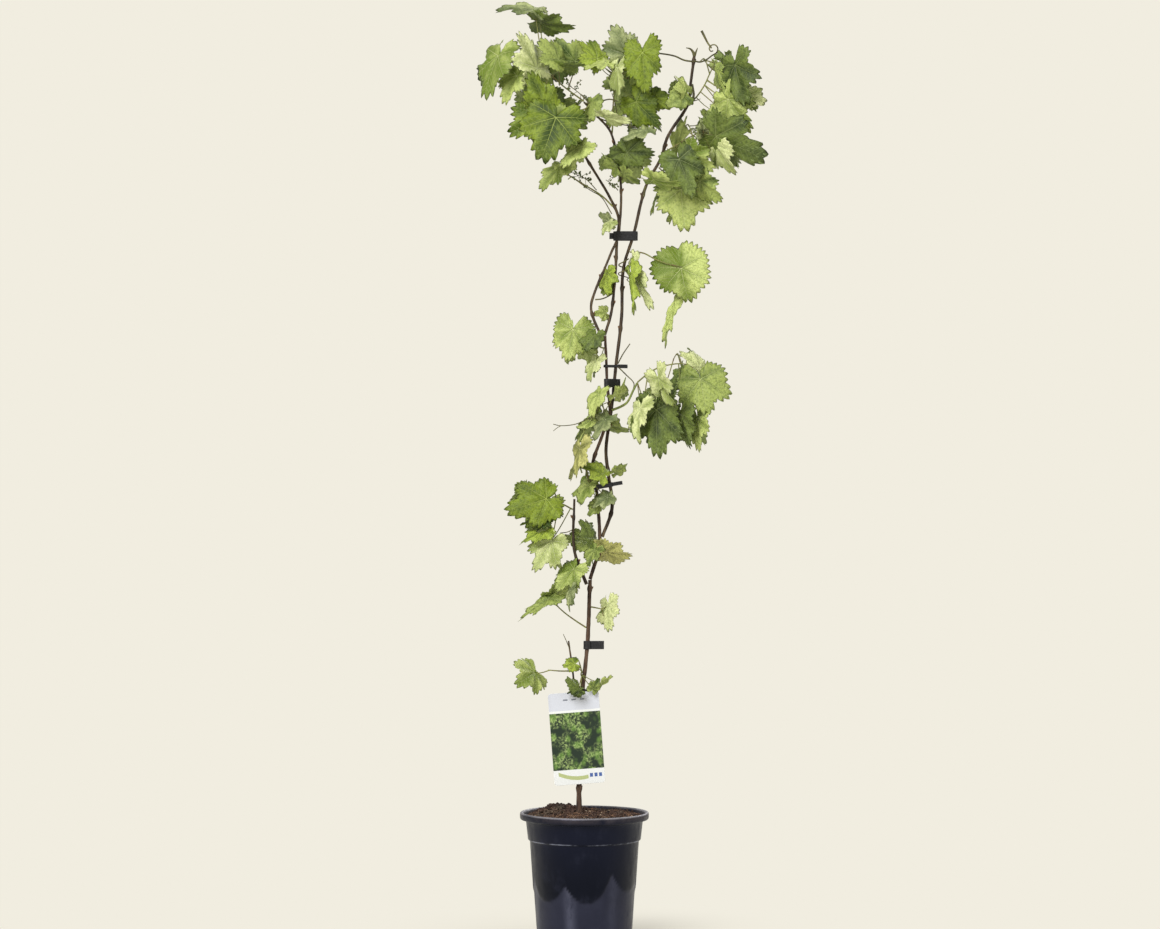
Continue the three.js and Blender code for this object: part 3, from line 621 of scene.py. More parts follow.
def joinCopies(name, copies, finishes):
    # one mesh from many copies, each with its model, points in mm, slots of the faces, flat places and shade
    corners, starts = [], []
    vertexCount = cornerCount = 0
    for copy in copies:
        model = copy["model"]
        corners.append(model["corners"] + vertexCount)
        starts.append(model["starts"] + cornerCount)
        vertexCount += len(copy["points"])
        cornerCount += len(model["corners"])
    points, slots, shades = [np.concatenate([copy[key] for copy in copies])
                             for key in ("points", "slots", "shade")]
    flats = np.concatenate([copy["flat"][copy["model"]["corners"]] for copy in copies])
    starts = np.concatenate(starts)
    mesh = bpy.data.meshes.new(name)
    mesh.vertices.add(vertexCount)
    mesh.vertices.foreach_set("co", (points * mm).astype(np.float32).ravel())
    mesh.loops.add(cornerCount)
    mesh.loops.foreach_set("vertex_index", np.concatenate(corners).astype(np.int32))
    mesh.polygons.add(len(starts))
    mesh.polygons.foreach_set("loop_start", starts.astype(np.int32))
    for finish in finishes:
        mesh.materials.append(finish)
    mesh.polygons.foreach_set("material_index", slots.astype(np.int32))
    mesh.polygons.foreach_set("use_smooth", np.ones(len(starts), bool))
    layer = mesh.uv_layers.new(name="blade")
    layer.data.foreach_set("uv", flats.astype(np.float32).ravel())
    addMark(mesh, "shade", shades)
    mesh.update(calc_edges=True)
    mesh.validate()
    piece = bpy.data.objects.new(name, mesh)
    scene.collection.objects.link(piece)
    return piece


def drawTubes(name, tubes, resolution):
    # each tube is (centres in mm, radii in mm), drawn as one curve object and made a mesh
    startPiece()
    bpy.ops.curve.primitive_nurbs_path_add(radius=1, location=(0, 0, 0))
    curve = namedPiece(name).data
    curve.splines.clear()
    curve.dimensions = "3D"
    for centres, radii in tubes:
        line = curve.splines.new("POLY")
        line.points.add(len(centres) - 1)
        line.points.foreach_set("co", np.column_stack([centres * mm, np.ones(len(centres))]).ravel())
        line.points.foreach_set("radius", np.asarray(radii, float))
    curve.bevel_depth = mm
    curve.bevel_resolution = resolution
    curve.use_fill_caps = True
    bpy.ops.object.convert(target="MESH")
    piece = bpy.context.object
    piece.data.name = name
    bpy.ops.object.shade_smooth()
    return piece


# Finishes

def newFinish(name, roughness, specular=0.5):
    finish = bpy.data.materials.new(name)
    finish.use_nodes = True
    shader = finish.node_tree.nodes["Principled BSDF"]
    shader.inputs["Roughness"].default_value = roughness
    shader.inputs["Specular IOR Level"].default_value = specular
    return finish, finish.node_tree, shader


def linear(colour):
    # a colour picked in the viewer's 0-255 numbers, as the shader takes it
    shares = [value / 255 for value in colour]
    return [s / 12.92 if s <= 0.04045 else ((s + 0.055) / 1.055) ** 2.4 for s in shares] + [1]


def place(tree, stretch=(1, 1, 1), turn=(0, 0, 0), shift=(0, 0, 0)):
    # object coordinates, stretched, turned and shifted
    source = tree.nodes.new("ShaderNodeTexCoord")
    mapping = tree.nodes.new("ShaderNodeMapping")
    mapping.inputs["Scale"].default_value = stretch
    mapping.inputs["Rotation"].default_value = [math.radians(angle) for angle in turn]
    mapping.inputs["Location"].default_value = shift
    tree.links.new(source.outputs["Object"], mapping.inputs["Vector"])
    return mapping.outputs["Vector"]


def parts(tree, vector):
    # the "X", "Y" and "Z" of a vector
    split = tree.nodes.new("ShaderNodeSeparateXYZ")
    tree.links.new(vector, split.inputs["Vector"])
    return split.outputs


def grain(tree, vector, scale, detail=4, rough=0.6):
    pattern = tree.nodes.new("ShaderNodeTexNoise")
    pattern.inputs["Scale"].default_value = scale
    pattern.inputs["Detail"].default_value = detail
    pattern.inputs["Roughness"].default_value = rough
    tree.links.new(vector, pattern.inputs["Vector"])
    return pattern.outputs["Fac"]


def calc(tree, kind, *values):
    node = tree.nodes.new("ShaderNodeMath")
    node.operation = kind
    for socket, value in zip(node.inputs, values):
        if isinstance(value, (int, float)):
            socket.default_value = value
        else:
            tree.links.new(value, socket)
    return node.outputs[0]


def plus(tree, first, second):
    return calc(tree, "ADD", first, second)


def less(tree, first, second):
    return calc(tree, "SUBTRACT", first, second)


def times(tree, first, second):
    return calc(tree, "MULTIPLY", first, second)


def most(tree, values):
    top = values[0]
    for value in values[1:]:
        top = calc(tree, "MAXIMUM", top, value)
    return top


def within(tree, value, low, high):
    # 1 between low and high, 0 elsewhere
    return times(tree, calc(tree, "GREATER_THAN", value, low), calc(tree, "LESS_THAN", value, high))


def ramp(tree, value, low, high, top=1.0):
    # 0 below low, top above high
    node = tree.nodes.new("ShaderNodeMapRange")
    node.interpolation_type = "SMOOTHSTEP"
    node.inputs["From Min"].default_value = low
    node.inputs["From Max"].default_value = high
    node.inputs["To Max"].default_value = top
    tree.links.new(value, node.inputs["Value"])
    return node.outputs["Result"]


def blendColours(tree, amount, first, second):
    node = tree.nodes.new("ShaderNodeMix")
    node.data_type = "RGBA"
    tree.links.new(amount, node.inputs["Factor"])
    for socket, colour in ((node.inputs["A"], first), (node.inputs["B"], second)):
        if isinstance(colour, (list, tuple)):
            socket.default_value = linear(colour)
        else:
            tree.links.new(colour, socket)
    return node.outputs["Result"]


def relief(tree, shader, height, distance, strength=1.0):
    bump = tree.nodes.new("ShaderNodeBump")
    bump.inputs["Strength"].default_value = strength
    bump.inputs["Distance"].default_value = distance
    tree.links.new(height, bump.inputs["Height"])
    tree.links.new(bump.outputs["Normal"], shader.inputs["Normal"])


def mark(tree, name):
    node = tree.nodes.new("ShaderNodeAttribute")
    node.attribute_name = name
    return node.outputs["Fac"]


# The pot: turned ring by ring from its foot, over the lip and down inside, then fluted with soft tongues

pot = {
    "sides": 168,
    "foot": (63.2, 0),
    "wall": {"foot": (63.4, 3), "top": (71.8, 129.6), "rings": 38},
    # radius and height of each ring above the wall, mm: step, collar, lip and the way down inside
    "rings": [
        (72.1, 131), (73.5, 131.8), (74.3, 132.6), (74.6, 134.2), (75.3, 141), (76.2, 149), (77, 156.6),
        (78, 158), (81.2, 158.6), (83.6, 159), (84.6, 160), (85, 162), (85, 165), (84.7, 167), (83.8, 168),
        (82.2, 168.1), (80.6, 167.4), (79.6, 165), (75.9, 158.5), (75.2, 152), (72.4, 134), (69.7, 129),
        (65.2, 60), (61.6, 4),
    ],
    "floor": 3,
    # middle of each tongue round the pot in degrees from the front, and the height of its tip, mm
    "tongues": [(-48.6, 56), (3, 56), (58, 68), (106, 60), (156, 64), (205, 56), (258, 62)],
    "tonguePeaks": [(-22, 78), (31, 94), (82, 84), (131, 80), (181, 88), (232, 78), (284, 84)],
    # painted reflection: pale streaks down the lower wall, standing in for a lamp's reflection in the gloss:
    # degrees from the front, and how strong
    "paintedReflectionStreaks": [(-17, 1), (34, 0.35), (85, 0.7), (134, 0.4), (184, 0.8), (236, 0.5), (288, 0.6)],
    "paintedReflectionStreakWidth": 6,
    "tonguePower": 2.3,
    "fluted": (2, 126),
    "recess": 1.1,
    "floorInsets": (20, 20),
    "footInsets": (3, 25),
    # heights in metres where a tone of the plastic sets in, where a painted highlight along the top of the
    # lip sets in, and those of a painted highlight line at the step
    "upperFrom": (0.07, 0.15),
    "rimFrom": (0.158, 0.1655),
    "paintedLipHighlightFrom": (0.1656, 0.1676),
    "stepAt": 0.1322,
    "stepEdge": (0.0003, 0.0011),
    "black": (2, 3, 6),
    "upper": (11, 13, 24),
    "lower": (37, 38, 50),
    "dust": (56, 58, 74),
    # painted reflection: the colour of the pale streaks down the lower wall
    "paintedReflectionStreak": (86, 88, 104),
    "rim": (60, 54, 54),
    # painted highlight: the colour along the top of the lip
    "paintedLipHighlight": (132, 130, 134),
    # painted highlight: the colour of the thin line along the step's edge
    "paintedStepHighlight": (128, 132, 150),
    "sheen": (176, 186, 232),
}


def potWall(turned, height):
    # 1 on the tongues of the upper wall, 0 in the recessed lower wall between them
    knots = sorted(pot["tongues"] + pot["tonguePeaks"])
    around = [spot for spot, _ in knots]
    tips = [tip for _, tip in knots]
    around = np.array([around[-1] - 360] + around + [around[0] + 360])
    tips = np.array([tips[-1]] + tips + [tips[0]])
    k = np.clip(np.searchsorted(around, turned) - 1, 0, len(around) - 2)
    share = (turned - around[k]) / (around[k + 1] - around[k])
    # broad at a tongue's tip, pointed at the peak between two tongues
    low, high = np.minimum(tips[k], tips[k + 1]), np.maximum(tips[k], tips[k + 1])
    fromTip = np.where(tips[k] < tips[k + 1], share, 1 - share)
    edge = low + (high - low) * fromTip ** pot["tonguePower"]
    return smoothStep(-2, 2, height - edge)


def makePot():
    (low, lowHeight), (top, topHeight) = pot["wall"]["foot"], pot["wall"]["top"]
    wallRings = [(low + (top - low) * share, lowHeight + (topHeight - lowHeight) * share)
                 for share in np.linspace(0, 1, pot["wall"]["rings"])]
    piece = turnedPiece("nursery_pot", pot["sides"], [pot["foot"]] + wallRings + pot["rings"])
    bpy.ops.transform.translate(value=(0, 0, (pot["floor"] - pot["rings"][-1][1]) * mm))
    insetFaces(*pot["floorInsets"])
    pickFaces(piece, lambda middle, normal: middle.z < 0.1 * mm)
    insetFaces(*pot["footInsets"])
    endEditing()
    points = vertexTable(piece)
    far = np.hypot(points[:, 0], points[:, 1])
    angle = np.degrees(np.arctan2(points[:, 0], -points[:, 1]))
    turned = (angle + 60) % 360 - 60
    height = points[:, 2] / mm
    wall = low + (height - lowHeight) * (top - low) / (topHeight - lowHeight)
    flutedFrom, flutedTo = pot["fluted"]
    outside = (far / mm > wall - 0.6) & (height > flutedFrom) & (height < flutedTo)
    lowerWall = np.where(outside, 1 - potWall(turned, height), 0)
    recess = pot["recess"] * lowerWall * smoothStep(flutedFrom, flutedFrom + 7, height)
    uneven = 0.25 * np.sin(np.radians(angle) * 3 + 1) + 0.12 * np.sin(np.radians(angle) * 7)
    shift = uneven * mm * smoothStep(5, 60, height) * 0.6 - recess * mm
    points[:, :2] *= ((far + shift) / np.maximum(far, mm))[:, None]
    moveVertices(piece, points)
    addMark(piece.data, "lowerWall", lowerWall)
    # painted reflection: how strongly the pale streaks show round the pot
    pale = sum(share * np.exp(-((turned - spot) / pot["paintedReflectionStreakWidth"]) ** 2) for spot, share in pot["paintedReflectionStreaks"])
    addMark(piece.data, "paintedReflectionStreak", pale * lowerWall)
    bpy.ops.object.shade_smooth_by_angle(angle=math.radians(50))
    return piece


def plasticFinish():
    finish, tree, shader = newFinish("potPlastic", 0.3, 0.3)
    shader.inputs["Specular Tint"].default_value = linear(pot["sheen"])
    vector = place(tree)
    height = parts(tree, vector)["Z"]
    scuffs = grain(tree, place(tree, (1, 1, 0.35)), 90, 6, 0.7)
    dust = grain(tree, vector, 28, 5, 0.65)
    patchy = ramp(tree, grain(tree, place(tree, (1, 1, 3)), 34, 5, 0.7), 0.4, 0.62)
    # painted reflection: pale streaks on the lower wall, broken up by the scuffs
    paintedReflectionStreaks = times(tree, mark(tree, "paintedReflectionStreak"), ramp(tree, scuffs, 0.2, 0.6))
    # painted highlight: a thin pale line along the step's edge, in patches
    offStep = calc(tree, "ABSOLUTE", less(tree, height, pot["stepAt"]))
    paintedStepHighlight = less(tree, 1.0, ramp(tree, offStep, *pot["stepEdge"]))
    rim = times(tree, ramp(tree, height, *pot["rimFrom"]), ramp(tree, dust, 0.3, 0.6))
    film = times(tree, ramp(tree, dust, 0.45, 0.75), ramp(tree, scuffs, 0.4, 0.7))
    colour = blendColours(tree, ramp(tree, height, *pot["upperFrom"]), pot["black"], pot["upper"])
    layers = {
        "lower": times(tree, mark(tree, "lowerWall"), ramp(tree, dust, -0.3, 0.6)),
        "paintedReflectionStreak": times(tree, paintedReflectionStreaks, 0.6),
        "paintedStepHighlight": times(tree, paintedStepHighlight, patchy),
        "rim": times(tree, rim, 0.8),
        # painted highlight along the top of the lip, broken up by the dust pattern
        "paintedLipHighlight": times(tree, ramp(tree, height, *pot["paintedLipHighlightFrom"]), ramp(tree, dust, 0.1, 0.6)),
        "dust": times(tree, film, 0.3),
    }
    for name, amount in layers.items():
        colour = blendColours(tree, amount, colour, pot[name])
    tree.links.new(colour, shader.inputs["Base Color"])
    tree.links.new(plus(tree, ramp(tree, scuffs, 0.3, 0.8, 0.3), 0.3), shader.inputs["Roughness"])
    relief(tree, shader, grain(tree, vector, 900, 3, 0.5), 0.00012, 0.5)
    return finish


nurseryPot = makePot()
nurseryPot.data.materials.append(plasticFinish())
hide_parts("pot")
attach(nurseryPot, "root")
print("pot made")


# The soil: a low mound in the pot with a rough top, then crumbs, fibres and pale bits on it

soil = {
    "sides": 144,
    "rings": [(61, 3), (69, 127), (72, 132), (74.4, 158), (75.8, 161)],
    "edge": (76.4, 163.2),
    "crown": 166.4,
    "insets": 26,
    "mound": {"middle": (-36, 34), "spread": 25, "rise": 8.5},
    # height and size of the unevenness, mm
    "lumps": [(1.6, 12), (1.1, 5), (0.6, 2)],
    "crumbs": {"count": 1700, "reach": 75, "clear": 7},
    "clods": {"count": 150, "reach": 71, "spread": 17, "size": (1.5, 3.1)},
    "paleBits": {"count": 70, "size": (0.6, 1.4)},
    "fibres": {"count": 420, "reach": 74, "clear": 5.5, "length": (4, 17), "width": (0.16, 0.42)},
    "dark": (24, 17, 15),
    "brown": (104, 80, 68),
    "greyish": (108, 100, 84),
    "fibre": (146, 112, 84),
    "pale": (176, 170, 150),
}
trunkX = limbs["trunk"]["route"][0][0]


def soilHeight(x, y):
    # height of the soil's top at a place in mm
    reach = math.hypot(x, y)
    edge, edgeHeight = soil["edge"]
    share = min(1, reach / edge)
    height = soil["crown"] - (soil["crown"] - edgeHeight) * share ** 2.2
    mound = soil["mound"]
    away = math.hypot(x - mound["middle"][0], y - mound["middle"][1]) / mound["spread"]
    height += mound["rise"] * math.exp(-away * away) * (1 - share ** 6)
    spot = Vector((x, y, 3))
    return height + sum(rise * noise.noise(spot / size) for rise, size in soil["lumps"])


def makeSoil():
    piece = turnedPiece("potting_soil", soil["sides"], soil["rings"] + [soil["edge"]])
    edge, edgeHeight = soil["edge"]
    insetFaces(*[(edge - 2) / soil["insets"]] * soil["insets"])
    bpy.ops.object.mode_set(mode="OBJECT")
    points = vertexTable(piece)
    for k, (x, y, z) in enumerate(points):
        if z > (edgeHeight - 0.2) * mm:
            points[k, 2] = soilHeight(x / mm, y / mm) * mm
    moveVertices(piece, points)
    bpy.ops.object.shade_smooth()
    return piece


def someSpot(draw, reach):
    # a place by chance, no further than reach from the pot's middle
    away = reach * math.sqrt(draw.random())
    angle = draw.random() * 2 * math.pi
    return away * math.cos(angle), away * math.sin(angle)


def inPot(x, y, reach):
    # the place, or the nearest one to it within reach of the pot's middle
    over = max(1, math.hypot(x, y) / reach)
    return x / over, y / over


def makeCrumbs():
    # one crumb modelled, then copied with its own size, turn and place
    startPiece()
    bpy.ops.mesh.primitive_ico_sphere_add(subdivisions=2, radius=1)
    crumb = readModel(namedPiece("crumbModel"))
    lump = np.array([1 + 0.35 * noise.noise(Vector(p) * 1.7) for p in crumb["points"]])
    crumb["points"] *= lump[:, None]
    draw = np.random.default_rng(11)
    look, clods, paleBits = soil["crumbs"], soil["clods"], soil["paleBits"]
    copies = []
    for k in range(look["count"]):
        x, y = someSpot(draw, look["reach"])
        pale = k < paleBits["count"]
        size = draw.uniform(*paleBits["size"]) if pale else 0.5 + 1.9 * draw.random() ** 3
        if k > look["count"] - clods["count"]:
            # clods gather on the mound
            x, y = np.array(soil["mound"]["middle"]) + draw.normal(0, clods["spread"], 2)
            size = draw.uniform(*clods["size"])
            x, y = inPot(x, y, clods["reach"])
        if math.hypot(x - trunkX, y) < look["clear"]:
            continue
        stretch = draw.uniform(0.6, 1.4, 3)
        turn = turnAbout("Z", draw.uniform(0, 360)) @ turnAbout("X", draw.uniform(0, 360))
        points = (crumb["points"] * stretch * size) @ turn.T + (x, y, soilHeight(x, y) + 0.35 * size)
        copies.append(plainCopy(crumb, points, draw.random(), int(pale)))
    return joinCopies("soil_crumbs", copies, [crumbFinish, paleBitFinish])


def makeFibres():
    draw = np.random.default_rng(23)
    look = soil["fibres"]
    tubes = []
    for _ in range(look["count"]):
        x, y = someSpot(draw, look["reach"])
        heading = draw.random() * 2 * math.pi
        length = draw.uniform(*look["length"])
        line = []
        for share in (0, 0.33, 0.66, 1):
            px, py = x + math.cos(heading) * length * share, y + math.sin(heading) * length * share
            heading += draw.uniform(-0.5, 0.5)
            px, py = inPot(px, py, look["reach"] + 1)
            line.append((px, py, soilHeight(px, py) + 0.3 + 1.3 * math.sin(share * math.pi) * draw.random()))
        if min(math.hypot(spot[0] - trunkX, spot[1]) for spot in line) > look["clear"]:
            tubes.append((np.array(line), np.full(len(line), draw.uniform(*look["width"]))))
    return drawTubes("soil_fibres", tubes, 0)


def earthFinish(name, first, second, roughness, fineness):
    finish, tree, shader = newFinish(name, roughness, 0.25)
    vector = place(tree)
    patches = grain(tree, vector, 55, 6, 0.7)
    grit = grain(tree, vector, fineness, 5, 0.75)
    amount = ramp(tree, plus(tree, times(tree, patches, 0.5), times(tree, grit, 0.5)), 0.38, 0.66)
    colour = blendColours(tree, amount, first, second)
    dull = times(tree, ramp(tree, grain(tree, vector, 26, 3, 0.5), 0.5, 0.62), ramp(tree, grit, 0.4, 0.6))
    colour = blendColours(tree, times(tree, dull, 0.6), colour, soil["greyish"])
    tree.links.new(colour, shader.inputs["Base Color"])
    relief(tree, shader, grit, 0.0006)
    return finish


crumbFinish = earthFinish("soilCrumb", soil["dark"], soil["brown"], 0.95, 700)
paleBitFinish = earthFinish("palePebble", soil["fibre"], soil["pale"], 0.9, 500)
fibreFinish = earthFinish("soilFibre", soil["brown"], soil["fibre"], 0.9, 300)
soilBody = makeSoil()
soilBody.data.materials.append(earthFinish("soilEarth", soil["dark"], soil["brown"], 0.95, 420))
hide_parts("soil")
crumbs = makeCrumbs()
fibres = makeFibres()
fibres.data.materials.append(fibreFinish)
for piece in (soilBody, crumbs, fibres):
    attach(piece, "root")
print("soil made")


# Trunk, canes and shoots: round limbs with swollen nodes, bark in lengthwise strips, and a bud at each node

bark = {
    "step": 2,
    "firstNode": (20, 45),
    "nodeEvery": (52, 74),
    "lastNode": 8,
    "swell": 0.4,
    "swellReach": 3.4,
    "flare": 1.9,
    "flareReach": 9,
    "clearOfTies": 13,
    "resolution": 6,
    # relief in mm: strips along the limb, and small unevenness
    "trunk": {"strips": 0.32, "uneven": 0.3},
    "cane": {"strips": 0.18, "uneven": 0.24},
    "shoot": {"strips": 0.06, "uneven": 0.1},
}
# heights of the ties and the card's ring, mm: no node swells under them
tieHeights = [927, 755.6, 733.4, 597.7, 388, 328.5]


def limbRadii(name, centres):
    foot, tip = limbs[name]["radii"]
    far = np.concatenate([[0], np.cumsum(np.linalg.norm(np.diff(centres, axis=0), axis=1))])
    radii = foot + (tip - foot) * far / far[-1]
    draw = np.random.default_rng(len(name) * 7 + 3)
    nodes, along = [], draw.uniform(*bark["firstNode"])
    while along < far[-1] - bark["lastNode"]:
        spot = partWay(centres, along / far[-1])
        if all(abs(spot[2] - height) > bark["clearOfTies"] for height in tieHeights):
            nodes.append(spot)
            radii += radii * bark["swell"] * np.exp(-((far - along) / bark["swellReach"]) ** 2)
        along += draw.uniform(*bark["nodeEvery"])
    if name == "trunk":
        radii += bark["flare"] * np.exp(-far / bark["flareReach"])
    return radii, nodes


def makeLimb(name):
    centres = spaced(limbs[name]["route"], bark["step"])
    radii, nodes = limbRadii(name, centres)
    if name == "trunk":
        # a little further down, into the soil
        centres = np.vstack([centres[0] - (0, 0, 2), centres])
        radii = np.concatenate([[radii[0] * 1.1], radii])
    piece = drawTubes(f"vine_{name}", [(centres, radii)], bark["resolution"])
    rough = bark[limbs[name]["kind"]]
    normals = readValues(piece.data.vertices, "normal", 3)
    points = vertexTable(piece)
    lift = []
    for x, y, z in points / mm:
        strips = abs(noise.noise(Vector((x * 0.75, y * 0.75, z * 0.055))))
        uneven = noise.noise(Vector((x, y, z)) / 9)
        lift.append(rough["strips"] * (0.35 - 1.6 * strips) + rough["uneven"] * uneven)
    points += normals * (np.array(lift) * mm)[:, None]
    moveVertices(piece, points)
    return piece, nodes


def barkFinish(name, dark, light, groove, fineness, roughness):
    finish, tree, shader = newFinish(name, roughness, 0.3)
    strips = grain(tree, place(tree, (1, 1, 0.07)), fineness, 6, 0.65)
    patches = grain(tree, place(tree, (1, 1, 0.4)), 60, 4, 0.6)
    body = blendColours(tree, ramp(tree, patches, 0.35, 0.68), dark, light)
    deep = ramp(tree, strips, 0.36, 0.52)
    tree.links.new(blendColours(tree, deep, groove, body), shader.inputs["Base Color"])
    relief(tree, shader, strips, 0.0005)
    return finish


barkFinishes = {
    "trunk": barkFinish("trunkBark", (52, 38, 32), (104, 82, 66), (26, 19, 17), 900, 0.85),
    "cane": barkFinish("caneBark", (48, 37, 30), (96, 80, 58), (28, 21, 18), 700, 0.7),
    "shoot": barkFinish("greenShoot", (104, 118, 58), (150, 160, 88), (92, 88, 52), 600, 0.55),
}
buds = []
for name in limbs:
    limb, nodes = makeLimb(name)
    limb.data.materials.append(barkFinishes[limbs[name]["kind"]])
    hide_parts(name)
    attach(limb, "root")
    buds += [(name, k, spot) for k, spot in enumerate(nodes)]
print("limbs made:", len(limbs), "with", len(buds), "nodes")


# Leaves: one large and one small blade modelled, copied and shaped for each leaf; stems and stalks as tubes

leafRule = {
    # as measured: width over length, the usual tip to the front and roll to the side, in degrees
    "breadth": 1.25, "pitch": 14, "roll": 10,
    # how a leaf that looks broader or narrower than that is turned
    "broadest": 1.38, "edgeOn": 0.12, "mostRoll": 0.5, "tippedOver": 0.3,
    # outlines: degrees from the tip, and how far the margin reaches there
    "lobes": [(0, 1), (7, 0.96), (16, 0.85), (23, 0.68), (27, 0.6), (32, 0.66), (41, 0.76), (52, 0.8),
              (62, 0.75), (72, 0.62), (79, 0.54), (86, 0.58), (98, 0.63), (112, 0.6), (128, 0.48),
              (145, 0.38), (160, 0.3), (170, 0.18), (176, 0.07), (180, 0.04)],
    "smallLobes": [(0, 1), (14, 0.84), (25, 0.64), (38, 0.72), (54, 0.79), (70, 0.66), (82, 0.56), (104, 0.6),
                   (128, 0.47), (158, 0.28), (173, 0.1), (180, 0.05)],
    # a round leaf: its lower lobes lie over each other and close the notch
    "roundLobes": [(0, 1), (14, 0.95), (24, 0.87), (34, 0.86), (50, 0.92), (68, 0.86), (80, 0.84), (104, 0.9),
                   (136, 0.86), (168, 0.84), (180, 0.66)],
    "roundBreadth": 1.8,
    "fullReach": 0.86,
    # lengths in mm from which the blade has these lobes or that model, and its thickness
    "smallBelow": 27, "largeFrom": 34, "thickness": 0.5,
    # degrees
    "soften": 2.6, "veins": (0, 52, 106),
    "tooth": (-1, 0.3, 1, 0.2),
    # shares of the length
    "teeth": 0.06, "flat": 0.36, "cup": 0.16, "twist": 0.05, "cushion": 0.07, "waves": 0.06, "crinkle": 0.032,
    "lobeBend": 0.15,
}
leafModels = {"large": {"segments": 132, "rings": 20}, "small": {"segments": 72, "rings": 14}}
# twigs that run back from a stem; a pair is the least and how much more by chance, in mm or degrees
behindRule = {
    "start": 0.75, "sway": 40, "rise": 35, "arch": 0.12, "firstLeaf": 0.3, "leafSpan": 0.67, "lastLeaf": 0.95,
    "turnStep": 2.4, "depth": 12, "flat": 0.7, "full": 0.4, "roll": 30,
    "out": (20, 14), "turn": (60, 110), "heading": (150, 60), "pitch": (20, 30), "length": (36, 18),
}
# finer leaves; a pair is the least and the most, in shares of the leaf in front or in degrees
finerTwigs = {
    "share": 0.8, "longer": 26, "wider": 0.7, "aim": 0.42, "deepFrom": 12, "deepMore": 34, "inside": 8,
    "least": 14, "size": (0.42, 0.68), "aside": (-0.16, 0.16), "above": (-0.05, 0.2),
    "turn": (70, 175), "heading": (130, 220), "pitch": (5, 45), "roll": (-25, 25),
}
# leaves behind stay hidden: the picture's plane in cells, each with the depth of the nearest leaf that shows
hiding = {"left": -220, "cell": 2.5, "cells": (220, 520), "least": 0.95, "tries": 60, "move": 46,
          "shrinkEvery": 10, "shrink": 0.93, "beyond": 14}
nearest = np.full(hiding["cells"], 999.0)


def modelBlade(look):
    startPiece()
    bpy.ops.mesh.primitive_uv_sphere_add(segments=look["segments"], ring_count=look["rings"], radius=1)
    blade = readModel(namedPiece("bladeModel"))
    points = blade["points"]
    blade["turn"] = np.arctan2(points[:, 0], points[:, 1])
    blade["lift"] = np.arcsin(np.clip(points[:, 2], -1, 1)) / (math.pi / 2)
    blade["under"] = blade["middles"][:, 2] < 0
    blade["tooth"] = np.round(np.abs(blade["turn"]) / (2 * math.pi) * look["segments"]).astype(int)
    return blade


blades = {size: modelBlade(look) for size, look in leafModels.items()}


def leafOutline(leaf, degrees):
    # reach of the margin at each angle from the tip, as a share of the length, softened between the lobes
    small = leaf["length"] < leafRule["smallBelow"]
    table = leafRule["roundLobes" if leaf["full"] == 1 else "smallLobes" if small else "lobes"]
    around = np.arange(-180, 181)
    reach = np.interp(np.abs(around), *zip(*table))
    spread = np.arange(-15, 16)
    weight = np.exp(-(spread / leafRule["soften"]) ** 2)
    wrapped = np.concatenate([reach[-16:-1], reach, reach[1:16]])
    soft = np.convolve(wrapped, weight / weight.sum(), "valid")
    # the tip stays pointed
    soft = np.maximum(soft, np.exp(-np.abs(around) / 16.0))
    vary = leaf["vary"]
    if leaf["full"] < 1:
        fuller = max(leaf["full"], 0.55 * vary[4])
        soft += (leafRule["fullReach"] - soft) * 0.7 * fuller * (np.abs(around) < 150)
    turn = np.radians(around)
    soft *= 1 + 0.06 * np.sin(2 * turn + 6.3 * vary[0]) + 0.04 * np.sin(3 * turn + 6.3 * vary[1])
    return np.interp(degrees, around, soft)


